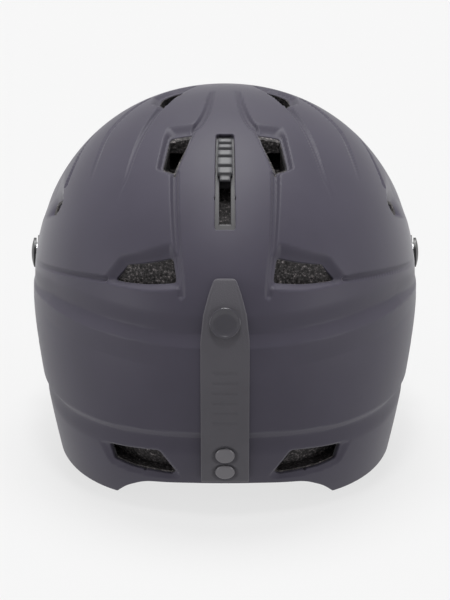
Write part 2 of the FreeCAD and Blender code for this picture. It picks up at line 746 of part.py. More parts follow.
def webbing(name, sign, end_x):
    """Half of the chin strap: down beside the cheek, round a bend and across below the chin."""
    thick = size("webbing_thick")
    x, low, bend = size("chin_strap_x"), size("webbing_low"), size("webbing_bend")
    top = size("chin_strap_rise") + 6

    def side_line(offset):
        side_x, floor = x + offset, low - offset
        start = V(sign * side_x, 0, top)
        knee = V(sign * side_x, 0, low + bend)
        foot = V(sign * (x - bend), 0, floor)
        reach = bend + offset
        middle = V(sign * (x - bend + reach * math.sqrt(0.5)), 0, low + bend - reach * math.sqrt(0.5))
        return start, knee, middle, foot, V(sign * end_x, 0, floor)

    edges = []
    ends = []
    for offset in (thick / 2, -thick / 2):
        start, knee, middle, foot, stop = side_line(offset)
        edges.append(Part.LineSegment(start, knee).toShape())
        edges.append(Part.Arc(knee, middle, foot).toShape())
        edges.append(Part.LineSegment(foot, stop).toShape())
        ends.append((start, stop))
    for index in (0, 1):
        edges.append(Part.LineSegment(ends[0][index], ends[1][index]).toShape())
    face = Part.Face(Part.Wire(Part.__sortEdges__(edges)))
    width = size("webbing_width")
    face.translate(V(0, size("chin_strap_y") - width / 2, 0))
    return freeform(name, face.extrude(V(0, width, 0)))


# Across the middle, the buckle's plug starts, meets the socket and ends at these x.
BUCKLE_START, BUCKLE_SPLIT, BUCKLE_END = 18.0, 26.0, 46.0


def make_chin_strap():
    y, low = size("chin_strap_y"), size("webbing_low")
    piece(webbing("webbing_left", LEFT, -BUCKLE_START), "chin_strap_left")
    piece(webbing("webbing_right", RIGHT, BUCKLE_END), "chin_strap_right")

    pad_end = BUCKLE_START - 4
    pad = box("chin_pad_block", (-34, y - 13, 1.0), (pad_end, y + 13, 8.6))
    slit = box("chin_pad_slit", (-36, y - 10.3, low - 1.2), (pad_end + 2, y + 10.3, low + 1.2))
    piece(cut("chin_pad_cut", pad, slit), "chin_pad")

    case = box("socket_case", (BUCKLE_SPLIT, y - 13, 0.6), (BUCKLE_END, y + 13, 9.4))
    room = box("socket_room", (BUCKLE_SPLIT - 1, y - 10, 2.6), (BUCKLE_END - 4, y + 10, 6.8))
    window = box("socket_window", (BUCKLE_SPLIT + 6, y - 5.3, 6), (BUCKLE_SPLIT + 15.6, y + 5.3, 12))
    piece(cut("socket_cut", case, fuse("socket_hollows", room, window)), "buckle_socket")
    head = box("plug_head", (BUCKLE_START, y - 12, 1.0), (BUCKLE_SPLIT - 0.3, y + 12, 8.6))
    tongue = box("plug_tongue", (BUCKLE_SPLIT - 0.3, y - 8, 3.2), (BUCKLE_END - 6, y + 8, 5.0))
    piece(fuse("plug_all", head, tongue), "buckle_plug")
    piece(box("button_body", (BUCKLE_SPLIT + 6.3, y - 5, 6.9), (BUCKLE_SPLIT + 15.3, y + 5, 10.2)), "buckle_button")

    anchors = []
    rise, x = size("chin_strap_rise"), size("chin_strap_x")
    thick = size("webbing_thick")
    for side, sign in SIDES.items():
        near = x + thick / 2 + 0.3
        reach = size("head_half_width") + 4 - near
        anchors.append(cylinder(f"anchor_{side}", (sign * near, y, rise), (sign, 0, 0), 5.0, reach))
        frame_low, frame_high = sorted((sign * (x - 2.4), sign * (x + 2.4)))
        glide = box(f"glide_{side}", (frame_low, y - 13, 38), (frame_high, y + 13, 50))
        slit_low, slit_high = sorted((sign * (x - 0.95), sign * (x + 0.95)))
        slit = box(f"glide_slit_{side}", (slit_low, y - 10.3, 36), (slit_high, y + 10.3, 52))
        piece(cut(f"glide_cut_{side}", glide, slit), f"strap_adjuster_{side}")
    piece(fuse("anchors_all", *anchors), "strap_anchors")


# ------------------------------------------------------------------- build and export


def check_objects():
    """Stop if any object failed, or any sub-part has no valid shape."""
    for item in doc.Objects:
        bad = [word for word in item.State if word in ("Invalid", "Error")]
        if bad:
            raise RuntimeError(f"{item.Name} is {bad}")
    for item in pieces:
        if item.Shape.isNull() or not item.Shape.isValid() or not item.Shape.Solids:
            raise RuntimeError(f"{item.Label} has no valid solid")


def export_pieces():
    os.makedirs("parts", exist_ok=True)
    for item in pieces:
        item.Shape.exportStep(f"parts/{item.Label}.step")
        print(item.Label, len(item.Shape.Solids), "solids", round(item.Shape.Volume), "mm3")


make_outer_shell()
make_foam_liner()
make_pads()
make_visor()
make_pivots()
make_slider()
make_goggle_strap()
make_snap_and_rivets()
make_fit_system()
make_chin_strap()
doc.recompute()
check_objects()
export_pieces()
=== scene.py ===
import math

import bmesh
import bpy
import numpy as np
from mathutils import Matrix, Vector


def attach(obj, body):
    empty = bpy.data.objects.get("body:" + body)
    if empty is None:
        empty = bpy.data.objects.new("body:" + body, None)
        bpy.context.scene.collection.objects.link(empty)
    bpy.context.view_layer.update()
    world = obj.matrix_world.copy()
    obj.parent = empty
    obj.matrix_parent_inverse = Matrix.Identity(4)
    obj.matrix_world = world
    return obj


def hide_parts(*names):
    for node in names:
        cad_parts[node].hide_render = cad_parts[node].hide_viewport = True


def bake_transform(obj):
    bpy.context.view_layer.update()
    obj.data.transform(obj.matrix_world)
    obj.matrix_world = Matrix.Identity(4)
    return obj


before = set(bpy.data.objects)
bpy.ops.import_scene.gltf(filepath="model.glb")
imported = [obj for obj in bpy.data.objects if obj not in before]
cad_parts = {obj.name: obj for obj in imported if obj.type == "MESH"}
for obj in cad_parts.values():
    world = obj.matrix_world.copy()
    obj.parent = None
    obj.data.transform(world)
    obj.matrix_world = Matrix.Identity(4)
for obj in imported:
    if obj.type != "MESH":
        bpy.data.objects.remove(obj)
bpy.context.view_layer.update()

MM = 0.001

# ---------- the helmet's form, mm
WIDE = 93.0  # height of the widest level
HALF = 110.0  # half width there
FRONT = 136.5  # reach forwards, towards -Y
REAR = 143.0  # reach rearwards
CROWN = 113.5  # rise of the crown above the widest level
TAPER = 0.0485  # how the skirt's half width falls off
TAPER_POWER = 1.3
TAPER_SOFT = 6.0  # rounds the start of the taper
FRONT_DROP = 200.0
REAR_DROP = 140.0
SQUARE = 0.7
SHOULDER_POWER = 2.12  # squares the shoulders above the widest level
SKIRT = 95.0
WALL = 3.0
EDGE_ROUND = 0.7
RIM_RETURN = 2.5  # how far the wall turns back under the shell at a hole

PIVOT_Y, PIVOT_Z = -30.0, 102.0
POCKET_RADIUS = 19.0
POCKET_FLOOR = 105.2
SLIDE_Y, SLIDE_Z = 8.3, 53.1  # centre of the slider's arc, y and z

# Openings of the left half. Views: "top" is (x, y), "rear" and "front" are (x, z), "side" is (y, z).
FACE_EDGE = [(-220, 106), (-112, 105), (-88, 95), (-70, 72), (-57, 42), (-48, 12), (-41, 1), (-20, 0.3),
             (20, 3.5), (50, 4.5), (78, 2.5), (98, 0.2), (220, 0), (220, -30), (-220, -30)]
NAPE = [(-66, -6), (-60.5, 2.6), (-56, 7.8), (-46, 13.8), (-20, 15),
        (20, 15), (46, 13.8), (56, 7.8), (60.5, 2.6), (66, -6)]
CROWN_VENT = [(-34.8, -3), (-38.6, -14), (-37.5, -32), (-30, -42), (-21, -48), (-19.5, -42), (-23, -29)]
CROWN_RECESS = [(-35.2, 1), (-42.3, -13), (-41.5, -34), (-33, -46), (-20, -53), (-15, -50), (-16, -40),
                (-20.5, -28)]
UPPER_VENT = [(-17.5, 40), (-32, 39), (-36.5, 65), (-29, 70.5)]
UPPER_RECESS = [(-14.6, 31.5), (-33.6, 28.8), (-39.4, 65), (-29.3, 74.5), (-26.5, 70)]
LOWER_VENT = [(-64.5, 134), (-56.5, 144), (-30.5, 152), (-28.5, 140), (-47, 136.5)]
LOWER_RECESS = [(-72, 130.8), (-60, 147), (-31, 159), (-24.8, 150), (-25, 136.3), (-46, 132.8)]
RIM_VENT = [(-67, 35.5), (-38, 37), (-28, 22.3), (-30, 20), (-53, 22), (-64, 25)]
RIM_RECESS = [(-73, 36.5), (-37, 39.5), (-24.5, 20.5), (-29, 17.6), (-54, 19.4), (-66, 22.6)]
BROW_VENT = [(-50, 146), (-24, 157), (-20, 148), (-44, 136)]
BROW_RECESS = [(-56, 146), (-24, 161), (-16, 149), (-44, 132.5)]
SIDE_VENT = [(18.5, 152), (24.5, 150.5), (25, 146.8), (10, 140.6), (8, 143.5)]
SIDE_RECESS = [(28.5, 152.5), (28.5, 145.5), (11, 138), (-8, 129.3), (-20, 125), (-28, 130), (-22, 150),
               (-10, 159), (10, 158)]
SLIDER_RECESS = [(-5.1, 45), (-6.0, 109.3), (6.0, 109.3), (5.1, 45)]
SLIDER_SLOT = [(-3.3, 47), (-3.3, 106.3), (3.3, 106.3), (3.3, 47)]
SLIDER_DEPTH = 2.2

# Corner radii of the outlines that stand alone.
FACE_CORNER = 12
NAPE_CORNER = 5
SLIDER_CORNER = 1.4
SIDE_CORNER = 1.5
SIDE_RECESS_CORNER = 4


def rounded(outline, radius):
    """The outline with each corner turned into a short arc of points."""
    points = []
    count = len(outline)
    for i, corner in enumerate(outline):
        here = np.array(corner, float)
        before = np.array(outline[i - 1], float) - here
        after = np.array(outline[(i + 1) % count], float) - here
        len_b, len_a = np.linalg.norm(before), np.linalg.norm(after)
        cut = min(radius, 0.45 * len_b, 0.45 * len_a)
        start, end = here + before / len_b * cut, here + after / len_a * cut
        for share in (0.0, 0.25, 0.5, 0.75, 1.0):
            points.append((1 - share) ** 2 * start + 2 * share * (1 - share) * here + share ** 2 * end)
    return np.array(points)


def grown(outline, step):
    """The outline moved outwards by step."""
    way = np.roll(outline, -1, axis=0) - np.roll(outline, 1, axis=0)
    out = np.stack([way[:, 1], -way[:, 0]], 1) / np.maximum(np.linalg.norm(way, axis=1, keepdims=True), 1e-9)
    area = (outline[:, 0] * np.roll(outline[:, 1], -1) - outline[:, 1] * np.roll(outline[:, 0], -1)).sum()
    return outline + out * step * math.copysign(1, area)


def mirrored(outline):
    return [(-a, b) for a, b in outline]


VIEW_AXES = {"top": (0, 1), "rear": (0, 2), "front": (0, 2), "side": (1, 2)}


def in_view(view, p, sign=0):
    """Which points lie on the face of the helmet that a view looks at."""
    if view == "top":
        return p[:, 2] > 165
    if view == "rear":
        return p[:, 1] > 20
    if view == "front":
        return p[:, 1] < -20
    return p[:, 0] * sign > 55 if sign else np.ones(len(p), bool)


def outline_distance(points, outline):
    """Signed distance to a closed outline, below zero inside, and the nearest point on it."""
    a = outline
    b = np.roll(outline, -1, axis=0)
    d = b - a
    rel = points[:, None, :] - a[None]
    t = np.clip((rel * d).sum(-1) / (d * d).sum(-1), 0, 1)
    near = a[None] + t[..., None] * d
    gap = np.linalg.norm(points[:, None, :] - near, axis=-1)
    best = gap.argmin(1)
    rows = np.arange(len(points))
    px, py = points[:, 0:1], points[:, 1:2]
    crosses = ((a[None, :, 1] > py) != (b[None, :, 1] > py))
    slope = (b[:, 0] - a[:, 0]) / np.where(b[:, 1] == a[:, 1], 1e-9, b[:, 1] - a[:, 1])
    left = px < slope[None] * (py - a[None, :, 1]) + a[None, :, 0]
    inside = (crosses & left).sum(1) % 2 == 1
    gap = gap[rows, best]
    return np.where(inside, -gap, gap), near[rows, best]


def openings():
    """Every hole and edge of the shell: view, side, outline.

    Each is larger by the rounding of the edges, which with_rims adds inside it."""
    found = [
        ("side", 0, rounded(FACE_EDGE, FACE_CORNER)),
        ("rear", 0, rounded(NAPE, NAPE_CORNER)),
        ("top", 0, rounded(SLIDER_RECESS, SLIDER_CORNER)),
    ]
    pairs = (("top", CROWN_VENT, 2.5), ("top", UPPER_VENT, 2.0), ("rear", LOWER_VENT, 2.0),
             ("rear", RIM_VENT, 2.0), ("front", BROW_VENT, 3))
    for view, outline, radius in pairs:
        found.append((view, -1, rounded(outline, radius)))
        found.append((view, 1, rounded(mirrored(outline), radius)))
    for sign in (-1, 1):
        found.append(("side", sign, rounded(SIDE_VENT, SIDE_CORNER)))
    return [(view, sign, grown(outline, EDGE_ROUND)) for view, sign, outline in found]


def recesses():
    """Dishes round the vents: view, side, inner and outer outline, depth, share of wall."""
    found = []
    rows = (("top", CROWN_VENT, CROWN_RECESS, 2.5, 2.8, 0.7),
            ("top", UPPER_VENT, UPPER_RECESS, 2.0, 2.9, 0.75),
            ("rear", LOWER_VENT, LOWER_RECESS, 2.0, 3.4, 1.0),
            ("rear", RIM_VENT, RIM_RECESS, 2.5, 1.6, 0.9),
            ("front", BROW_VENT, BROW_RECESS, 3, 2.4, 0.9))
    for view, inner, outer, radius, depth, wall in rows:
        found.append((view, -1, rounded(inner, radius), rounded(outer, radius), depth, wall))
        inner, outer = mirrored(inner), mirrored(outer)
        found.append((view, 1, rounded(inner, radius), rounded(outer, radius), depth, wall))
    for sign in (-1, 1):
        inner, outer = rounded(SIDE_VENT, SIDE_CORNER), rounded(SIDE_RECESS, SIDE_RECESS_CORNER)
        found.append(("side", sign, inner, outer, 4.2, 1.0))
    return found


# Creases of the left half: points near the surface, half width and depth at both ends.
GROOVES = [
    # the spine's edges, from the crown to the lower vents
    ([(-7, -16, 206), (-9.5, 10, 206), (-12.5, 26, 203.5), (-16.5, 36, 200)], (1.8, 3.4), (0.5, 2.0)),
    ([(-28.6, 72, 186), (-28.4, 90, 175), (-27, 111, 157), (-25.6, 122, 145), (-24.6, 129, 133)],
     (3.0, 2.6), (2.2, 1.0)),
    # from the crown vent rearwards
    ([(-36.5, 0, 200), (-45, 25, 192), (-55, 57, 180), (-59, 66, 173), (-60.5, 71, 168)],
     (3.0, 1.6), (2.0, 0.0)),
    ([(-46, -36, 196), (-57, -16, 190), (-65, 0, 184), (-70.5, 20, 178), (-75.5, 40, 169)],
     (2.6, 1.8), (1.8, 0.0)),
    # from the lower vent outwards
    ([(-68, 100, 132.6), (-85.3, 79, 127.8), (-104, 35, 117), (-108, 10, 112)], (2.2, 1.6), (1.7, 0.0)),
    # above the side vent
    ([(-90, 14, 158), (-86, 2, 165), (-82, -14, 171), (-76, -32, 176)], (2.4, 1.4), (1.6, 0.2)),
    # low on the side, running forwards
    ([(-105.6, 31, 68), (-107, 8, 69), (-104, -22, 72), (-97, -52, 77)], (1.8, 2.4), (0.9, 1.6)),
]


# ---------- the base surface


def spans(z):
    """Half width, front reach, rear reach and squareness of the section at height z."""
    drop = np.maximum(WIDE - z, 0.0)
    soft = np.sqrt(drop * drop + TAPER_SOFT ** 2) - TAPER_SOFT
    half = HALF - TAPER * soft ** TAPER_POWER
    front = FRONT * np.sqrt(1 - (drop / FRONT_DROP) ** 2)
    rear = REAR * np.sqrt(1 - (drop / REAR_DROP) ** 2)
    return half, front, rear, 2.0 + SQUARE * drop / SKIRT


def shoulder(z):
    """How much wider the helmet is than an ellipsoid at height z."""
    climb = np.clip((z - WIDE) / CROWN, 0, 0.9999)
    return (1 - climb ** SHOULDER_POWER) ** (1 / SHOULDER_POWER) / np.sqrt(1 - climb * climb)


def form(p):
    """1 on the base surface, less inside."""
    half, front, rear, square = spans(p[:, 2])
    half = half * shoulder(p[:, 2])
    reach = np.where(p[:, 1] > 0, rear, front)
    low = (np.abs(p[:, 0]) / half) ** square + (np.abs(p[:, 1]) / reach) ** square
    rise = np.maximum(p[:, 2] - WIDE, 0.0) / CROWN
    return low + rise * rise


def normals_of(p, step=0.05):
    g = np.zeros_like(p)
    for axis in range(3):
        shift = np.zeros(3)
        shift[axis] = step
        g[:, axis] = form(p + shift) - form(p - shift)
    return g / np.linalg.norm(g, axis=1, keepdims=True)


def onto_surface(p):
    """Moves points back to the base surface: radially above the widest level, level below it."""
    p = p.copy()
    up = p[:, 2] > WIDE
    value = form(p)
    scale = 1 / np.sqrt(value)
    centre = np.array([0, 0, WIDE])
    p[up, 0] /= shoulder(p[up, 2])
    p[up] = centre + (p[up] - centre) * scale[up, None]
    p[up, 0] *= shoulder(p[up, 2])
    square = spans(p[:, 2])[3]
    flat = value ** (-1 / square)
    p[~up, :2] *= flat[~up, None]
    return p


def sphere_patch(u, v, place):
    """A grid of directions on one side of a cube, pushed out to a ball."""
    tu, tv = np.tan(np.pi / 4 * u), np.tan(np.pi / 4 * v)
    gu, gv = np.meshgrid(tu, tv, indexing="ij")
    d = np.stack(place(gu, gv), -1)
    return d / np.linalg.norm(d, axis=-1, keepdims=True)


GRID_ACROSS = 161
GRID_FRONT, GRID_REAR = 36, 82  # finer at the rear
GRID_UP = 68
GRID_LEVELS = 76
GRID_FOOT = -3.0  # a little below the lower edge


def base_grid():
    """Vertices and quads of the whole outer surface."""
    across = np.linspace(-1, 1, GRID_ACROSS)
    along = np.concatenate([np.linspace(-1, 0, GRID_FRONT)[:-1], np.linspace(0, 1, GRID_REAR)])
    up = np.linspace(0, 1, GRID_UP)
    levels = np.linspace(WIDE, GRID_FOOT, GRID_LEVELS)
    patches = [sphere_patch(across, along, lambda a, b: (a, b, np.ones_like(a)))]
    for sign in (1, -1):
        patches.append(sphere_patch(across, up, lambda a, b: (a, np.full_like(a, sign), b)))
    for sign in (1, -1):
        patches.append(sphere_patch(along, up, lambda a, b: (np.full_like(a, sign), a, b)))
    grids = []
    for d in patches:
        reach = np.where(d[..., 1] > 0, REAR, FRONT)
        z = WIDE + CROWN * d[..., 2]
        grids.append(np.stack([HALF * d[..., 0] * shoulder(z), reach * d[..., 1], z], -1))
    for d in patches[1:]:
        c, s = d[:, 0, 0], d[:, 0, 1]
        rows = []
        for z in levels:
            half, front, rear, square = (float(value) for value in spans(np.array(z)))
            k = (np.abs(c) ** square + np.abs(s) ** square) ** (-1 / square)
            reach = np.where(s > 0, rear, front)
            rows.append(np.stack([half * k * c, reach * k * s, np.full_like(c, z)], -1))
        grids.append(np.stack(rows, 1))
    points, quads, base = [], [], 0
    for g in grids:
        n, m = g.shape[:2]
        index = base + np.arange(n * m).reshape(n, m)
        quad = np.stack([index[:-1, :-1], index[1:, :-1], index[1:, 1:], index[:-1, 1:]], -1)
        points.append(g.reshape(-1, 3))
        quads.append(quad.reshape(-1, 4))
        base += n * m
    points, quads = np.concatenate(points), np.concatenate(quads)
    key = np.round(points * 200).astype(np.int64)
    _, first, back = np.unique(key, axis=0, return_index=True, return_inverse=True)
    points, quads = points[first], back.reshape(-1)[quads]
    middle = points[quads].mean(1)
    way = np.cross(points[quads[:, 2]] - points[quads[:, 0]], points[quads[:, 3]] - points[quads[:, 1]])
    flip = (way * (middle - [0, 0, WIDE * 0.8])).sum(1) < 0
    quads[flip] = quads[flip][:, ::-1]
    return points, quads


def snap(p, view, outline, rounds=4):
    """Moves points along the surface until they lie on an outline seen in a view."""
    axes = list(VIEW_AXES[view])
    for _ in range(rounds):
        _, near = outline_distance(p[:, axes], outline)
        pull = np.zeros_like(p)
        pull[:, axes] = near - p[:, axes]
        n = normals_of(p)
        slide = pull - (pull * n).sum(1, keepdims=True) * n
        size = (pull * pull).sum(1, keepdims=True)
        part = (slide * pull).sum(1, keepdims=True)
        gain = np.where(part > 1e-9, size / np.maximum(part, 1e-9), 0.0)
        p = onto_surface(p + slide * np.clip(gain, 0, 3))
    return p


def ramp(value, low, high):
    return np.clip((value - low) / (high - low), 0, 1)


def smooth(t):
    t = np.clip(t, 0, 1)
    return t * t * (3 - 2 * t)


def path_distance(p, path):
    """Distance to a polyline in space, and how far along it the nearest point is, 0 to 1."""
    path = np.array(path, float)
    steps = np.linalg.norm(np.diff(path, axis=0), axis=1)
    starts = np.concatenate([[0], np.cumsum(steps)])
    best = np.full(len(p), 1e9)
    where = np.zeros(len(p))
    for i in range(len(steps)):
        d = path[i + 1] - path[i]
        t = np.clip(((p - path[i]) @ d) / (d @ d), 0, 1)
        gap = np.linalg.norm(p - (path[i] + t[:, None] * d), axis=1)
        near = gap < best
        best[near] = gap[near]
        where[near] = (starts[i] + t[near] * steps[i]) / starts[-1]
    return best, where


def curve_through(path, parts=6):
    """A smooth curve through the points of a path (Catmull-Rom)."""
    pts = [np.array(q, float) for q in path]
    pts = [2 * pts[0] - pts[1]] + pts + [2 * pts[-1] - pts[-2]]
    out = []
    for a, b, c, d in zip(pts, pts[1:], pts[2:], pts[3:]):
        for k in range(parts):
            t = k / parts
            out.append(0.5 * (2 * b + (c - a) * t + (2 * a - 5 * b + 4 * c - d) * t * t
                              + (3 * b - 3 * c + d - a) * t ** 3))
    out.append(pts[-2])
    return onto_surface(np.array(out))


# The belt's chamfers: y, and the heights where each starts and ends.
BELT_UP = [(-40, 94, 93.6), (9, 97.5, 96.3), (57, 107.5, 102.4), (89, 111.5, 104.0), (117, 113.0, 105.0),
           (143, 113.3, 105.7)]
BELT_LOW = [(-60, 50.0, 48.0), (20, 50.0, 47.0), (75, 50.6, 45.2), (110, 51.0, 46.0), (143, 54.5, 48.0)]
BELT_RAISE = 1.5
BELT_DIP = 2.0  # how far the shell sinks beside the belt
BELT_DIP_WIDTH = 11.0
BELT_FADE = (-30, 80)  # y between which the belt rises out of the side
BELT_LOW_FADE = (-60, 30)  # the same for its lower chamfer
BELT_LOW_LEAST = 0.35  # what is left of the lower chamfer at the front


def belt_height(p):
    """The raised belt with its two chamfers, and the shallow dips above and below it."""
    y, z = p[:, 1], p[:, 2]
    up, low = np.array(BELT_UP), np.array(BELT_LOW)
    top, top_end = np.interp(y, up[:, 0], up[:, 1]), np.interp(y, up[:, 0], up[:, 2])
    foot, foot_end = np.interp(y, low[:, 0], low[:, 1]), np.interp(y, low[:, 0], low[:, 2])
    above = ramp(z, top_end, top)
    below = ramp(-z, -foot, -foot_end)
    dip_up = above * (1 - smooth((z - top) / BELT_DIP_WIDTH))
    dip_low = below * (1 - smooth((foot_end - z) / BELT_DIP_WIDTH))
    share = smooth(ramp(y, *BELT_FADE))
    low_share = BELT_LOW_LEAST + (1 - BELT_LOW_LEAST) * smooth(ramp(y, *BELT_LOW_FADE))
    raised = BELT_RAISE * (1 - np.maximum(above, below)) * share
    return raised - BELT_DIP * (dip_up * share + dip_low * low_share)


def relief(p):
    """How far the real surface stands out from the base surface, in mm."""
    height = belt_height(p)
    left = p * [-1, 1, 1]
    left = np.where(p[:, :1] > 0, left, p)
    for curve, widths, depths in CURVES:
        reach = max(widths)
        near = ((left > curve.min(0) - reach) & (left < curve.max(0) + reach)).all(1)
        gap, where = path_distance(left[near], curve)
        width = widths[0] + (widths[1] - widths[0]) * where
        depth = depths[0] + (depths[1] - depths[0]) * where
        height[near] -= depth * smooth((1 - gap / width) * 1.4)
    for view, sign, inner, outer, depth, wall in RECESSES:
        near = in_view(view, p, sign) & (p[:, 0] * sign > 0)
        near &= relevant(p, view, outer)
        q = p[near][:, list(VIEW_AXES[view])]
        if not len(q):
            continue
        gap_out, _ = outline_distance(q, outer)
        gap_in, _ = outline_distance(q, inner)
        inside = gap_out < 0
        share = np.where(gap_in <= 0, 1.0, -gap_out / np.maximum(-gap_out + gap_in, 1e-6))
        share = np.where(inside, share, 0.0)
        share = np.clip(share / wall, 0, 1)
        height[near] -= depth * (0.35 * share + 0.65 * smooth(share))
    return height


def relevant(p, view, outline, room=3.0):
    a, b = VIEW_AXES[view]
    low, high = outline.min(0) - room, outline.max(0) + room
    return (p[:, a] > low[0]) & (p[:, a] < high[0]) & (p[:, b] > low[1]) & (p[:, b] < high[1])


RECESSES = recesses()
CURVES = [(curve_through(path), widths, depths) for path, widths, depths in GROOVES]


def lifted(q):
    q = onto_surface(q)
    return q + normals_of(q) * relief(q)[:, None]


def relief_normals(p, n, step=0.4):
    """Normals of the surface with its relief, from four points around each place."""
    side = np.cross(n, [0.0, 0.0, 1.0])
    flat = np.linalg.norm(side, axis=1) < 1e-3
    side[flat] = [1.0, 0.0, 0.0]
    side /= np.linalg.norm(side, axis=1, keepdims=True)
    other = np.cross(n, side)
    du = lifted(p + side * step) - lifted(p - side * step)
    dv = lifted(p + other * step) - lifted(p - other * step)
    out = np.cross(du, dv)
    out /= np.maximum(np.linalg.norm(out, axis=1, keepdims=True), 1e-9)
    return np.where((out * n).sum(1, keepdims=True) < 0, -out, out)


def shell_surface():
    """The outer surface with its holes cut, its creases snapped and its relief raised."""
    p, quads = base_grid()
    holes = openings()
    middle = p[quads].mean(1)
    owner = np.full(len(quads), -1)
    for k, (view, sign, outline) in enumerate(holes):
        look = in_view(view, middle, sign) & relevant(middle, view, outline, 1.0)
        index = np.nonzero(look)[0]
        gap, _ = outline_distance(middle[index][:, list(VIEW_AXES[view])], outline)
        hit = index[gap < 0]
        owner[hit[owner[hit] < 0]] = k
    kept = quads[owner < 0]
    kept_mark = np.zeros(len(p), bool)
    kept_mark[kept] = True
    fixed = np.zeros(len(p), bool)
    belongs = []
    for k in range(len(holes)):
        mark = np.zeros(len(p), bool)
        mark[quads[owner == k]] = True
        belongs.append(mark & kept_mark)
        fixed |= belongs[-1]
    for _ in range(3):
        for k, (view, _, outline) in enumerate(holes):
            index = np.nonzero(belongs[k])[0]
            if len(index):
                p[index] = snap(p[index], view, outline)
    p = relax(p, kept, fixed)
    n = normals_of(p)
    final = press_pockets(p + n * relief(p)[:, None])
    used = np.unique(kept)
    remap = np.full(len(p), -1)
    remap[used] = np.arange(len(used))
    return final[used], n[used], remap[kept], p[used]


def relax(p, quads, fixed, rounds=4):
    """Evens out the grid beside the snapped vertices."""
    near = np.zeros(len(p), bool)
    for _ in range(2):
        mark = (fixed | near)[quads].any(1)
        near[quads[mark]] = True
    near &= ~fixed
    edges = np.concatenate([quads[:, [i, (i + 1) % 4]] for i in range(4)])
    edges = np.unique(np.sort(edges, 1), axis=0)
    for _ in range(rounds):
        total, count = np.zeros_like(p), np.zeros(len(p))
        for a, b in ((0, 1), (1, 0)):
            np.add.at(total, edges[:, a], p[edges[:, b]])
            np.add.at(count, edges[:, a], 1)
        goal = total / np.maximum(count, 1)[:, None]
        p[near] = onto_surface(p[near] * 0.5 + goal[near] * 0.5)
    return p


def press_pockets(p):
    """Flattens the round pockets that the visor's arms turn in."""
    reach = np.hypot(p[:, 1] - PIVOT_Y, p[:, 2] - PIVOT_Z)
    share = 1 - ramp(reach, POCKET_RADIUS - 0.3, POCKET_RADIUS + 1.2)
    floor = np.sign(p[:, 0]) * POCKET_FLOOR
    side = (np.abs(p[:, 0]) > 60) & (np.abs(p[:, 0]) > POCKET_FLOOR - 0.2)
    out = p.copy()
    out[side, 0] = p[side, 0] + (floor - p[:, 0])[side] * share[side]
    return out


def boundary_edges(quads):
    """Directed edges that only one quad uses."""
    edges = np.concatenate([quads[:, [i, (i + 1) % 4]] for i in range(4)])
    size = int(quads.max()) + 1
    key = edges[:, 0].astype(np.int64) * size + edges[:, 1]
    back = edges[:, 1].astype(np.int64) * size + edges[:, 0]
    alone = ~np.isin(key, back)
    return edges[alone]


def with_rims(p, n, quads):
    """Adds rounded edges and the wall's thickness along every hole."""
    edges = boundary_edges(quads)
    along = p[edges[:, 1]] - p[edges[:, 0]]
    out = np.cross(along, n[edges[:, 0]] + n[edges[:, 1]])
    out /= np.maximum(np.linalg.norm(out, axis=1, keepdims=True), 1e-9)
    total = np.zeros_like(p)
    np.add.at(total, edges[:, 0], out)
    np.add.at(total, edges[:, 1], out)
    rim = np.unique(edges)
    hole = total[rim]
    hole -= (hole * n[rim]).sum(1, keepdims=True) * n[rim]
    hole /= np.maximum(np.linalg.norm(hole, axis=1, keepdims=True), 1e-9)
    rings = []
    for turn in (30, 60, 90):
        a = math.radians(turn)
        rings.append(p[rim] + hole * EDGE_ROUND * math.sin(a) - n[rim] * EDGE_ROUND * (1 - math.cos(a)))
    rings.append(rings[-1] - n[rim] * (WALL - EDGE_ROUND))
    rings.append(rings[-1] - hole * RIM_RETURN)
    place = np.full(len(p), -1)
    place[rim] = np.arange(len(rim))
    points, faces = [p], [quads]
    base = len(p)
    below = edges
    for ring in rings:
        above = base + place[edges]
        faces.append(np.stack([below[:, 1], below[:, 0], above[:, 0], above[:, 1]], -1))
        points.append(ring)
        below = above
        base += len(rim)
    return np.concatenate(points), np.concatenate(faces)


# ---------- mesh helpers


def new_piece(name, points, faces, mat, normals=None):
    """A smooth-shaded mesh object from millimetre points."""
    mesh = bpy.data.meshes.new(name)
    mesh.from_pydata((np.asarray(points) * MM).tolist(), [], [[int(i) for i in f] for f in faces])
    mesh.polygons.foreach_set("use_smooth", [True] * len(mesh.polygons))
    mesh.update()
    if normals is not None:
        mesh.normals_split_custom_set_from_vertices(normals.tolist())
    piece = bpy.data.objects.new(name, mesh)
    bpy.context.scene.collection.objects.link(piece)
    mesh.materials.append(mat)
    return piece


def vertex_normals(points, quads):
    corners = points[quads]
    way = np.cross(corners[:, 2] - corners[:, 0], corners[:, 3] - corners[:, 1])
    total = np.zeros_like(points)
    for i in range(4):
        np.add.at(total, quads[:, i], way)
    return total / np.maximum(np.linalg.norm(total, axis=1, keepdims=True), 1e-9)


def loft(rings, closed=True, caps=False):
    """Points and faces through rings of equal length."""
    rings = [np.asarray(ring, float) for ring in rings]
    count = len(rings[0])
    faces = []
    for level in range(len(rings) - 1):
        for i in range(count if closed else count - 1):
            j = (i + 1) % count
            a, b = level * count, (level + 1) * count
            faces.append((a + i, a + j, b + j, b + i))
    if caps:
        faces.append(tuple(range(count))[::-1])
        last = (len(rings) - 1) * count
        faces.append(tuple(range(last, last + count)))
    return np.concatenate(rings), faces


def lathe(centre, axis, profile, steps=48):
    """A turned form: (radius, height) pairs about an axis through centre."""
    axis = np.array(axis, float) / np.linalg.norm(axis)
    side = np.cross(axis, [1.0, 0, 0] if abs(axis[0]) < 0.9 else [0, 1.0, 0])
    side /= np.linalg.norm(side)
    other = np.cross(axis, side)
    turns = [2 * math.pi * k / steps for k in range(steps)]
    rings = []
    for radius, height in profile:
        ring = [centre + axis * height + (side * math.cos(t) + other * math.sin(t)) * radius for t in turns]
        rings.append(ring)
    return loft(rings)


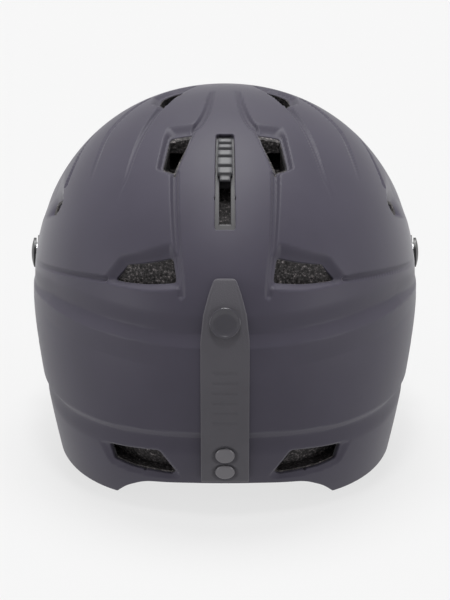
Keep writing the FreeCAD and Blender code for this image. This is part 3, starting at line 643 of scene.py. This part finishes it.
def joined(*meshes):
    points, faces, base = [], [], 0
    for some, more in meshes:
        points.append(np.asarray(some))
        faces.extend(tuple(int(i) + base for i in face) for face in more)
        base += len(some)
    return np.concatenate(points), faces


def outward(piece):
    """Turns all faces to the outside."""
    form = bmesh.new()
    form.from_mesh(piece.data)
    bmesh.ops.recalc_face_normals(form, faces=form.faces)
    form.to_mesh(piece.data)
    form.free()
    return piece


# ---------- materials


def node(tree, kind, **values):
    made = tree.nodes.new(kind)
    for name, value in values.items():
        made.inputs[name.replace("_", " ")].default_value = value
    return made


def ramp_node(tree, source, stops):
    made = tree.nodes.new("ShaderNodeValToRGB")
    elements = made.color_ramp.elements
    while len(elements) < len(stops):
        elements.new(0.5)
    for element, (place, color) in zip(elements, stops):
        element.position = place
        element.color = (*color, 1)
    tree.links.new(source, made.inputs["Fac"])
    return made


def material(name, color, roughness=0.5, metallic=0.0, specular=0.5, grain=0.0, grain_scale=900.0,
             spread=0.06, coat=0.0, sheen=0.0, blotch=35.0, pattern="noise", depth=0.0003):
    """Uneven colour and roughness over a procedural bump."""
    mat = bpy.data.materials.new(name)
    mat.use_nodes = True
    tree = mat.node_tree
    links = tree.links
    shader = tree.nodes["Principled BSDF"]
    for socket, value in (("Metallic", metallic), ("Specular IOR Level", specular), ("Coat Weight", coat),
                          ("Coat Roughness", 0.15), ("Sheen Weight", sheen), ("Sheen Roughness", 0.4)):
        shader.inputs[socket].default_value = value
    where = tree.nodes.new("ShaderNodeTexCoord")
    cloud = node(tree, "ShaderNodeTexNoise", Scale=blotch, Detail=5.0)
    links.new(where.outputs["Object"], cloud.inputs["Vector"])
    dark = tuple(c * (1 - spread) for c in color)
    light = tuple(min(1, c * (1 + spread)) for c in color)
    tint = ramp_node(tree, cloud.outputs["Fac"], [(0.35, dark), (0.65, light)])
    links.new(tint.outputs["Color"], shader.inputs["Base Color"])
    smoothest, roughest = max(0.02, roughness - 0.05), min(1, roughness + 0.05)
    rough = node(tree, "ShaderNodeMapRange", To_Min=smoothest, To_Max=roughest)
    links.new(cloud.outputs["Fac"], rough.inputs["Value"])
    links.new(rough.outputs["Result"], shader.inputs["Roughness"])
    height = None
    if pattern == "weave":
        rows = []
        for turn in (math.pi / 4, -math.pi / 4):
            turned = tree.nodes.new("ShaderNodeMapping")
            turned.inputs["Rotation"].default_value = (turn, turn, turn)
            links.new(where.outputs["Object"], turned.inputs["Vector"])
            wave = node(tree, "ShaderNodeTexWave", Scale=grain_scale, Distortion=0.4, Detail=1.0)
            links.new(turned.outputs["Vector"], wave.inputs["Vector"])
            rows.append(wave)
        both = tree.nodes.new("ShaderNodeMath")
        both.operation = "MULTIPLY"
        links.new(rows[0].outputs["Fac"], both.inputs[0])
        links.new(rows[1].outputs["Fac"], both.inputs[1])
        height = both.outputs["Value"]
    elif grain:
        fine = node(tree, "ShaderNodeTexNoise", Scale=grain_scale, Detail=2.0)
        links.new(where.outputs["Object"], fine.inputs["Vector"])
        height = fine.outputs["Fac"]
    if height is not None:
        bump = node(tree, "ShaderNodeBump", Strength=grain, Distance=depth)
        links.new(height, bump.inputs["Height"])
        links.new(bump.outputs["Normal"], shader.inputs["Normal"])
    return mat


def foam_material():
    """Dark expanded foam: pressed beads with lighter flecks."""
    mat = material("eps_foam", (0.02, 0.018, 0.019), 0.75, specular=0.35)
    tree = mat.node_tree
    links = tree.links
    shader = tree.nodes["Principled BSDF"]
    where = tree.nodes.new("ShaderNodeTexCoord")
    beads = node(tree, "ShaderNodeTexVoronoi", Scale=480.0, Randomness=1.0)
    flecks = node(tree, "ShaderNodeTexNoise", Scale=650.0, Detail=4.0, Roughness=0.7)
    links.new(where.outputs["Object"], beads.inputs["Vector"])
    links.new(where.outputs["Object"], flecks.inputs["Vector"])
    stops = [(0.40, (0.010, 0.009, 0.009)), (0.56, (0.045, 0.041, 0.042)), (0.72, (0.30, 0.27, 0.27))]
    tint = ramp_node(tree, flecks.outputs["Fac"], stops)
    links.new(tint.outputs["Color"], shader.inputs["Base Color"])
    bump = node(tree, "ShaderNodeBump", Strength=0.9, Distance=0.0006)
    bump.invert = True
    links.new(beads.outputs["Distance"], bump.inputs["Height"])
    links.new(bump.outputs["Normal"], shader.inputs["Normal"])
    return mat


def lens_material():
    mat = material("lens_tinted", (0.012, 0.013, 0.016), 0.06, specular=0.6, coat=0.6, spread=0.2, blotch=9.0)
    shader = mat.node_tree.nodes["Principled BSDF"]
    shader.inputs["Transmission Weight"].default_value = 0.35
    shader.inputs["IOR"].default_value = 1.5
    return mat


SHELL = material("shell_satin", (0.048, 0.044, 0.060), 0.46, specular=0.12, sheen=0.14,
                 grain=0.12, grain_scale=2600, spread=0.035)
# painted shade: a near-black copy of the shell plastic for the slider's recess floor and slot walls, where
# only shade falls
SLOT_PAINTED_SHADE = material("slot_floor", (0.016, 0.015, 0.018), 0.55, grain=0.10, grain_scale=2400)
FOAM = foam_material()
RUBBER = material("strap_rubber", (0.066, 0.063, 0.072), 0.60, specular=0.2, sheen=0.10,
                  grain=0.35, grain_scale=1500, spread=0.05)
SNAP = material("snap_plastic", (0.040, 0.038, 0.046), 0.24, grain=0.08, grain_scale=1800)
RIVET = material("rivet_metal", (0.12, 0.115, 0.125), 0.40, metallic=0.3, grain=0.12, grain_scale=1400)
KNOB = material("slider_plastic", (0.030, 0.030, 0.034), 0.5, grain=0.15, grain_scale=1600)
TRIM = material("trim_plastic", (0.022, 0.022, 0.024), 0.48, grain=0.25, grain_scale=1300)
CAP = material("cap_plastic", (0.010, 0.010, 0.011), 0.42, grain=0.08, grain_scale=900)
LENS = lens_material()
SEAL = material("seal_rubber", (0.012, 0.012, 0.013), 0.7, grain=0.3, grain_scale=900)
FABRIC = material("pad_fabric", (0.016, 0.016, 0.018), 0.9, pattern="weave", grain=0.9,
                  grain_scale=420.0, depth=0.0005, sheen=0.35, spread=0.12, blotch=60.0)
WEBBING = material("webbing_nylon", (0.018, 0.018, 0.020), 0.75, pattern="weave", grain=1.0,
                   grain_scale=300.0, depth=0.0006, sheen=0.2, spread=0.15, blotch=80.0)
STEEL = material("steel", (0.42, 0.42, 0.43), 0.32, metallic=1.0, grain=0.1, grain_scale=700)
BUTTON = material("button_plastic", (0.085, 0.085, 0.088), 0.45, grain=0.2, grain_scale=1300)


# ---------- hard pieces


def build_shell():
    final, n, quads, base = shell_surface()
    points, every = with_rims(final, n, quads)
    normals = vertex_normals(points, every)
    normals[:len(base)] = relief_normals(base, n)
    pressed = np.abs(final - (base + n * relief(base)[:, None])).max(1) > 0.02
    plain = vertex_normals(final, quads)
    normals[:len(base)][pressed] = plain[pressed]
    shell = new_piece("shell", points, every, SHELL, normals)
    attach(shell, "helmet")
    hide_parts("outer_shell")


def dense(outline, step=1.5):
    """The outline with extra points along its long sides."""
    points = []
    for a, b in zip(outline, np.roll(outline, -1, axis=0)):
        count = max(1, int(np.linalg.norm(b - a) / step))
        points.extend(a + (b - a) * k / count for k in range(count))
    return np.array(points)


def build_slider_frame():
    """The floor of the slider's recess and the walls of its slot, in a near-black colour that paints the
    shade in the slot.
    """
    outer = dense(rounded(SLIDER_RECESS, SLIDER_CORNER))
    (left, low), (right, high) = SLIDER_SLOT[0], SLIDER_SLOT[2]
    inner = np.stack([np.clip(outer[:, 0], left, right), np.clip(outer[:, 1], low, high)], 1)
    rings = []
    for outline, depth in ((outer, SLIDER_DEPTH), (inner, SLIDER_DEPTH), (inner, SLIDER_DEPTH + 1.5)):
        rise = 1 - (outline[:, 0] / HALF) ** 2 - (outline[:, 1] / REAR) ** 2
        high = np.column_stack([outline, WIDE + CROWN * np.sqrt(rise)])
        rings.append(high - normals_of(high) * depth)
    edge = rings[1] + (rings[0] - rings[1]) * 0.2
    points, faces = loft([rings[0], edge, rings[1], rings[2]])
    # the recess floor and the slot walls get the near-black painted shade
    frame_piece = new_piece("slider_recess", points, faces, SLOT_PAINTED_SHADE)
    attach(frame_piece, "helmet")


def rear_point(x, z):
    """A point on the base surface at the rear, from arrays of x and height."""
    x, z = np.broadcast_arrays(np.asarray(x, float), np.asarray(z, float))
    half, _, rear, square = spans(z)
    rise = np.maximum(z - WIDE, 0) / CROWN
    share = np.clip(1 - (np.abs(x) / (half * shoulder(z))) ** square - rise ** 2, 0, 1)
    power = np.where(z > WIDE, 0.5, 1 / square)
    return np.stack([x, rear * share ** power, z], -1)


STRAP_LIFT, STRAP_TOP_LIFT = 1.65, 3.6
STRAP_FOOT, STRAP_TOP, STRAP_HINGE = 20.0, 142.5, 51.5
STRAP_OUTLINE = [(20.0, 13.2), (21.4, 13.5), (110, 13.5), (124, 12.0), (134, 9.2), (138.5, 7.5), (141.2, 6.4),
                 (142.2, 5.4), (142.5, 4.4)]
STRAP_ACROSS = 33  # points across its face
RIVET_LEVELS = (39.8, 28.0)
SEAT_RADIUS, SEAT_DEPTH = 7.4, 0.9
SNAP_LEVEL = 120.2
BORDER_SPAN = (48, 137)  # heights between which the border line runs
BORDER_INSET, BORDER_WIDTH, BORDER_DEPTH = 1.7, 0.35, 0.18
BAR_LEVELS = (62, 68, 74, 80, 86, 92)
BAR_HALF_WIDTH, BAR_HALF_HEIGHT, BAR_DEPTH = 7.0, 1.1, 0.4


def strap_half_width(z):
    table = np.array(STRAP_OUTLINE)
    return np.interp(z, table[:, 0], table[:, 1])


def build_strap():
    """The goggle strap, one piece from the rivets to its tip."""
    levels = np.concatenate([np.arange(STRAP_FOOT, 139, 0.7), np.linspace(139, STRAP_TOP, 9)])
    across = np.linspace(-1, 1, STRAP_ACROSS)
    corner = [(0.10, 0.75), (0.0, 0.45), (0.0, -0.45), (0.10, -0.75)]
    rings = []
    mid, half_thick = (STRAP_LIFT + STRAP_TOP_LIFT) / 2, (STRAP_TOP_LIFT - STRAP_LIFT) / 2
    for z in levels:
        w = float(strap_half_width(z))
        taper = 1.0 if STRAP_FOOT + 1 < z < STRAP_TOP - 0.6 else 0.7
        top = np.stack([across * (w - 0.5), np.full(STRAP_ACROSS, mid + half_thick * taper)], 1)
        right = np.array([(w - inset, mid + half_thick * share * taper) for inset, share in corner])
        under = np.array([(w - 0.6, mid - half_thick * taper), (0.6 - w, mid - half_thick * taper)])
        left = np.array([(inset - w, mid + half_thick * share * taper) for inset, share in corner[::-1]])
        section = np.concatenate([top, right, under, left])
        place = rear_point(section[:, 0], z)
        lift = section[:, 1].copy()
        lift[:STRAP_ACROSS] -= strap_relief(top[:, 0], z, place[:STRAP_ACROSS])
        rings.append(place + normals_of(place) * lift[:, None])
    points, faces = loft(rings, caps=True)
    strap = outward(new_piece("goggle_strap_band", points, faces, RUBBER))
    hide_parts("strap_base", "strap_flap")
    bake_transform(strap)


def strap_relief(x, z, place):
    """Seats round the rivets, a thin border line and plain pressed bars."""
    sunk = np.zeros(len(x))
    for level in RIVET_LEVELS:
        seat = rear_point(0, level)
        gap = np.linalg.norm(place - seat, axis=1)
        sunk += SEAT_DEPTH * np.clip((SEAT_RADIUS - gap) / 0.6, 0, 1)
    w = strap_half_width(z)
    if BORDER_SPAN[0] < z < BORDER_SPAN[1]:
        sunk += BORDER_DEPTH * np.exp(-((np.abs(x) - (w - BORDER_INSET)) / BORDER_WIDTH) ** 2)
    for level in BAR_LEVELS:
        share = np.clip((BAR_HALF_HEIGHT - abs(z - level)) / 0.5, 0, 1)
        sunk += BAR_DEPTH * share * np.clip((BAR_HALF_WIDTH - np.abs(x)) / 0.6, 0, 1)
    return sunk


def on_rear(level, lift):
    """A point lifted off the middle of the rear at a height, and the outward direction there."""
    place = rear_point(0, level)
    out = normals_of(place[None])[0]
    return place + out * lift, out


# Turned profiles: radius, and height above the strap's face.
SNAP_PROFILE = [(0.01, 1.1), (2.5, 1.12), (4.8, 1.22), (6.4, 1.4), (7.5, 1.95), (8.1, 2.25), (8.5, 2.25),
                (8.78, 2.0), (8.85, 1.5), (8.85, 0.4), (8.6, 0.05), (7.4, -0.15)]
RIVET_PROFILE = [(0.01, 0.95), (2.6, 0.92), (4.2, 0.84), (4.9, 0.7), (5.3, 0.45), (5.5, 0.1), (5.6, -0.3),
                 (5.4, -0.6)]


def build_snap_and_rivets():
    """The dished snap button on the strap's flap, and the two rivets at its foot."""
    centre, out = on_rear(SNAP_LEVEL, STRAP_TOP_LIFT)
    cap = outward(new_piece("snap_button", *lathe(centre, out, SNAP_PROFILE, 72), SNAP))
    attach(cap, "goggle_strap")
    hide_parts("snap_cap")
    heads = []
    for level in RIVET_LEVELS:
        centre, out = on_rear(level, STRAP_TOP_LIFT)
        heads.append(lathe(centre, out, RIVET_PROFILE, 56))
    rivets = outward(new_piece("strap_rivet_heads", *joined(*heads), RIVET))
    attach(rivets, "helmet")
    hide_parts("strap_rivets")


KNOB_START, KNOB_END, TOE = 16.3, 29.2, 1.4  # degrees along the slider's arc
KNOB_HALF, KNOB_LOW, KNOB_HIGH = 4.35, 150.75, 153.8  # half width, and radii of its foot and its top
KNOB_LENGTH = 31.0
KNOB_GROOVES = (0.15, 0.32, 0.53, 0.79)  # shares of the block's length
KNOB_GROOVE_DEPTH, KNOB_GROOVE_WIDTH = 1.4, 0.85
TOE_DROP = 1.35


def ease(value, width):
    """0 to 1 as the value rises from 0 to the width."""
    return float(smooth(np.array(value / width)))


def build_knob():
    """The slider's knob: a ribbed block on an arc, with a lower toe."""
    rings = []
    stations = np.concatenate([[KNOB_START, KNOB_START + 0.08, KNOB_START + 0.2],
                               np.arange(KNOB_START + 0.35, KNOB_END - 0.2, 0.07),
                               [KNOB_END - 0.1, KNOB_END]])
    for angle in stations:
        share = (angle - KNOB_START) / (KNOB_END - TOE - KNOB_START)
        top = KNOB_HIGH
        for groove in KNOB_GROOVES:
            top -= KNOB_GROOVE_DEPTH * math.exp(-((share - groove) * KNOB_LENGTH / KNOB_GROOVE_WIDTH) ** 2)
        top -= 0.9 * ease(0.35 - (angle - KNOB_START), 0.35)
        block_end = KNOB_END - TOE
        toe = ease(angle - block_end + 0.35, 0.35)
        top -= toe * TOE_DROP
        top -= 0.3 * ease(angle - (KNOB_END - 0.2), 0.2)
        w = KNOB_HALF - 0.35 + 0.4 * share
        w -= 0.35 * ease(0.4 - (angle - KNOB_START), 0.4)
        corner = np.clip((angle - block_end + 0.9) / 0.9, 0, 1)
        w -= 1.3 * (1 - math.sqrt(1 - corner * corner))
        section = [(-w, KNOB_LOW), (-w, top - 0.55), (-w + 0.12, top - 0.2), (-w + 0.4, top),
                   (-w * 0.4, top + 0.05), (w * 0.4, top + 0.05), (w - 0.4, top), (w - 0.12, top - 0.2),
                   (w, top - 0.55), (w, KNOB_LOW)]
        a = math.radians(angle)
        rings.append([(x, SLIDE_Y + r * math.sin(a), SLIDE_Z + r * math.cos(a)) for x, r in section])
    points, faces = loft(rings, caps=True)
    knob = outward(new_piece("slider_grip", points, faces, KNOB))
    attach(knob, "vent_slider")
    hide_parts("slider_knob")


# ---------- soft pieces


def strap_path(sign, end_x):
    """Middle line of one half of the chin strap, in x and z, as far as end_x."""
    top, x, low, bend = 84.0, 66.0, 4.4, 16.0
    points = [(sign * x, z) for z in np.linspace(top, low + bend, 26)]
    for turn in np.linspace(0, math.pi / 2, 12)[1:]:
        points.append((sign * (x - bend + bend * math.cos(turn)), low + bend - bend * math.sin(turn)))
    points.extend((sign * value, low) for value in np.linspace(x - bend, end_x * sign, 16)[1:])
    return np.array(points)


PLUG_END, SOCKET_END = 18.0, 46.0  # x of the buckle's ends, where the webbing stops


def build_webbing(name, sign, end_x):
    """Flat woven strap with rolled edges."""
    path = strap_path(sign, end_x)
    way = np.gradient(path, axis=0)
    way /= np.linalg.norm(way, axis=1, keepdims=True)
    across = np.stack([-way[:, 1], way[:, 0]], 1)
    half, thick, middle = 9.9, 0.82, -14.0
    section = []
    for share in np.linspace(-1, 1, 15):
        section.append((share * (half - 0.5), thick - 0.12 * math.cos(share * 9)))
    section += [(half - 0.15, thick * 0.6), (half, 0), (half - 0.15, -thick * 0.6)]
    for share in np.linspace(1, -1, 15):
        section.append((share * (half - 0.5), -thick + 0.12 * math.cos(share * 9)))
    section += [(0.15 - half, -thick * 0.6), (-half, 0), (0.15 - half, thick * 0.6)]
    rings = []
    for (px, pz), (ax, az) in zip(path, across):
        rings.append([(px + ax * t, middle + y, pz + az * t) for y, t in section])
    points, faces = loft(rings, caps=True)
    band = outward(new_piece(name + "_webbing", points, faces, WEBBING))
    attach(band, "chin_strap")
    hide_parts(name)


CLOTH_FRAMES = 20
CLOTH_PRESSURE = 4.0
CLOTH_MASS = 0.3


def padded_copy(source, name, body, voxel, cap, shrink):
    """A pad drawn in from its CAD solid, rounded, then pushed out by a cloth simulation.

    The push is smaller than the first shrink, so the pad ends smaller than its solid."""
    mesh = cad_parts[source].data.copy()
    pad = bpy.data.objects.new(name, mesh)
    bpy.context.scene.collection.objects.link(pad)
    form = bmesh.new()
    form.from_mesh(mesh)
    bmesh.ops.remove_doubles(form, verts=form.verts, dist=1e-5)
    bmesh.ops.recalc_face_normals(form, faces=form.faces)
    form.to_mesh(mesh)
    form.free()
    remesh = pad.modifiers.new("remesh", "REMESH")
    remesh.mode = "VOXEL"
    remesh.voxel_size = voxel * MM
    bake(pad)
    co = read(pad, "co")
    normal = read(pad, "normal")
    start = co - normal * shrink * MM
    write_points(pad, start)
    smooth_mesh(pad, 4)
    start = read(pad, "co")
    cloth = pad.modifiers.new("cloth", "CLOTH")
    cloth.settings.use_pressure = True
    cloth.settings.uniform_pressure_force = CLOTH_PRESSURE
    cloth.settings.effector_weights.gravity = 0.0
    cloth.settings.quality = 5
    cloth.settings.mass = CLOTH_MASS
    scene = bpy.context.scene
    for step in range(1, CLOTH_FRAMES + 1):
        scene.frame_set(step)
    bake(pad)
    scene.frame_set(1)
    moved = read(pad, "co") - start
    write_points(pad, start + capped(start, moved, cap))
    smooth_mesh(pad, 2)
    once = pad.modifiers.new("once", "SUBSURF")
    once.levels = once.render_levels = 1
    bake(pad)
    pad.data.polygons.foreach_set("use_smooth", [True] * len(pad.data.polygons))
    pad.data.materials.clear()
    pad.data.materials.append(FABRIC)
    press_seams(pad, source)
    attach(pad, body)
    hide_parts(source)


def bake(piece):
    """Applies every modifier of a piece."""
    graph = bpy.context.evaluated_depsgraph_get()
    made = bpy.data.meshes.new_from_object(piece.evaluated_get(graph))
    piece.modifiers.clear()
    piece.data = made


def read(piece, what):
    out = np.zeros(len(piece.data.vertices) * 3)
    piece.data.vertices.foreach_get(what, out)
    return out.reshape(-1, 3)


def write_points(piece, co):
    piece.data.vertices.foreach_set("co", co.reshape(-1))
    piece.data.update()


def smooth_mesh(piece, rounds):
    form = bmesh.new()
    form.from_mesh(piece.data)
    for _ in range(rounds):
        bmesh.ops.smooth_vert(form, verts=form.verts, factor=0.5,
                              use_axis_x=True, use_axis_y=True, use_axis_z=True)
    form.to_mesh(piece.data)
    form.free()
    piece.data.update()


def capped(start, moved, cap):
    """Limits each point's travel, and keeps it off the foam behind it."""
    size = np.linalg.norm(moved, axis=1, keepdims=True)
    moved = moved * np.minimum(1, cap * MM / np.maximum(size, 1e-9))
    centre = np.array([0, 0, min(WIDE * MM, start[:, 2].mean())])
    away = start - centre
    away /= np.maximum(np.linalg.norm(away, axis=1, keepdims=True), 1e-9)
    out = (moved * away).sum(1, keepdims=True)
    return moved - away * np.maximum(out - 0.25 * cap * MM, 0)


# Sewn channels: the axis they are spaced along and their places, mm.
SEAM_WIDTH, SEAM_DEPTH = 1.6, 0.9
SEAMS = {"crown_pad": (1, (-22, 20)), "brow_pad": (0, (-26, 26)), "rear_pad": (0, (-17, 17)),
         "nape_pad": (0, (-7, 7)), "chin_pad": (0, (-22, -6))}


def press_seams(pad, source):
    """Presses sewn channels across a pad."""
    if source not in SEAMS:
        return
    axis, places = SEAMS[source]
    co, n = read(pad, "co"), read(pad, "normal")
    for place in places:
        gap = (co[:, axis] - place * MM) / (SEAM_WIDTH * MM)
        co = co - n * (SEAM_DEPTH * MM * np.exp(-gap * gap))[:, None]
    write_points(pad, co)


# CAD node, piece, body; then grid size, largest travel and first shrink in mm.
PADS = (("crown_pad", "crown_cushion", "helmet", 2.6, 2.4, 0.9),
        ("brow_pad", "brow_cushion", "helmet", 2.6, 2.4, 0.9),
        ("rear_pad", "rear_cushion", "helmet", 2.6, 2.4, 0.9),
        ("ear_pad_left", "ear_cushion_left", "helmet", 3.4, 3.0, 1.2),
        ("ear_pad_right", "ear_cushion_right", "helmet", 3.4, 3.0, 1.2),
        ("nape_pad", "nape_cushion", "helmet", 2.2, 1.6, 0.8),
        ("chin_pad", "chin_cushion", "chin_strap", 2.2, 1.6, 0.9))


# ---------- carried-over nodes

NODE_MATERIALS = {
    FOAM: ("foam_crown", "foam_front", "foam_rear", "foam_side_left", "foam_side_right"),
    TRIM: ("fit_cradle", "dial_housing", "fit_dial", "dial_pinion", "fit_band_left", "fit_band_right",
           "slider_guide", "vent_shutter", "strap_adjuster_left", "strap_adjuster_right",
           "buckle_socket", "buckle_plug", "visor_arm_left", "visor_arm_right"),
    CAP: ("pivot_cap_left", "pivot_cap_right"),
    LENS: ("visor_lens",),
    SEAL: ("visor_seal",),
    STEEL: ("pivot_screws", "pivot_nuts", "pivot_bushes", "housing_screws", "strap_anchors", "snap_stud"),
    BUTTON: ("buckle_button",),
}
# Bevel widths on the edges of CAD nodes, mm.
SOFT_EDGES = {"fit_cradle": 0.8, "dial_housing": 1.0, "fit_dial": 0.6, "buckle_socket": 1.2,
              "buckle_plug": 1.0, "buckle_button": 0.6, "strap_adjuster_left": 0.8,
              "strap_adjuster_right": 0.8, "visor_lens": 0.5, "visor_arm_left": 0.5,
              "visor_arm_right": 0.5, "fit_band_left": 0.35, "fit_band_right": 0.35,
              "pivot_cap_left": 0.4, "pivot_cap_right": 0.4}


def dress_nodes():
    """Gives the CAD nodes that stay their materials and soft edges."""
    for mat, names in NODE_MATERIALS.items():
        for name in names:
            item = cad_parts[name]
            for slot in item.material_slots:
                slot.link = "OBJECT"
                slot.material = mat
    for name, width in SOFT_EDGES.items():
        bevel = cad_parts[name].modifiers.new("soft_edge", "BEVEL")
        bevel.width = width * MM
        bevel.segments = 2
        bevel.limit_method = "ANGLE"
        bevel.angle_limit = math.radians(40)
        bevel.harden_normals = False


# ---------- camera and light


def build_stage():
    """A pale floor that glows a little, under an even sky."""
    world = bpy.data.worlds.new("studio")
    bpy.context.scene.world = world
    world.use_nodes = True
    back = world.node_tree.nodes["Background"]
    back.inputs["Color"].default_value = (1, 1, 1, 1)
    back.inputs["Strength"].default_value = WORLD
    mesh = bpy.data.meshes.new("floor")
    corners = [(x * FLOOR_HALF, y * FLOOR_HALF, 0) for x, y in ((-1, -1), (1, -1), (1, 1), (-1, 1))]
    mesh.from_pydata(corners, [], [(0, 1, 2, 3)])
    floor = bpy.data.objects.new("floor", mesh)
    bpy.context.scene.collection.objects.link(floor)
    paper = material("floor_paper", (FLOOR, FLOOR, FLOOR), 0.9, specular=0.1, spread=0.004, blotch=3.0)
    shader = paper.node_tree.nodes["Principled BSDF"]
    shader.inputs["Emission Color"].default_value = (1, 1, 1, 1)
    shader.inputs["Emission Strength"].default_value = FLOOR_GLOW
    mesh.materials.append(paper)
    bpy.context.scene.view_settings.view_transform = "Standard"


def sun_light(name, way, strength, spread):
    """A broad light from far away, from the direction of way."""
    lamp = bpy.data.lights.new(name, "SUN")
    lamp.energy = strength
    lamp.angle = math.radians(spread)
    holder = bpy.data.objects.new(name, lamp)
    bpy.context.scene.collection.objects.link(holder)
    holder.rotation_euler = Vector(way).to_track_quat("Z", "Y").to_euler()


WORLD = 0.42
FLOOR_GLOW = 0.72
FLOOR = 0.10
FLOOR_HALF = 30.0
# Name, direction it comes from, strength, and spread in degrees.
LIGHTS = (("top", (0.0, -0.40, 1.0), 3.5, 34),
          ("rear", (0.0, 0.22, 1.0), 1.3, 10),
          ("side_-1", (-1.0, 0.25, 0.10), 1.6, 30),
          ("side_1", (1.0, 0.25, 0.10), 1.6, 30))
CAMERA_ELEVATION = 20.0
CAMERA_DISTANCE = 7.5
CAMERA_LENS = 779.0
CAMERA_HEIGHT = 0.0835


def build_camera():
    """A long lens behind the helmet and a little above it."""
    camera = bpy.data.cameras.new("camera")
    holder = bpy.data.objects.new("camera", camera)
    bpy.context.scene.collection.objects.link(holder)
    tilt = math.radians(CAMERA_ELEVATION)
    target = Vector((0.0, 0.0, CAMERA_HEIGHT))
    away = Vector((0.0, math.cos(tilt), math.sin(tilt)))
    holder.location = target + away * CAMERA_DISTANCE
    holder.rotation_euler = (-away).to_track_quat("-Z", "Y").to_euler()
    camera.lens = CAMERA_LENS
    camera.sensor_fit = "VERTICAL"
    camera.sensor_width = camera.sensor_height = 36.0
    camera.clip_end = 200.0
    bpy.context.scene.camera = holder


build_camera()
build_stage()
for light in LIGHTS:
    sun_light(*light)
build_shell()
build_slider_frame()
build_strap()
build_snap_and_rivets()
build_knob()
build_webbing("chin_strap_left", -1, PLUG_END)
build_webbing("chin_strap_right", 1, SOCKET_END)
for pad in PADS:
    padded_copy(*pad)
dress_nodes()
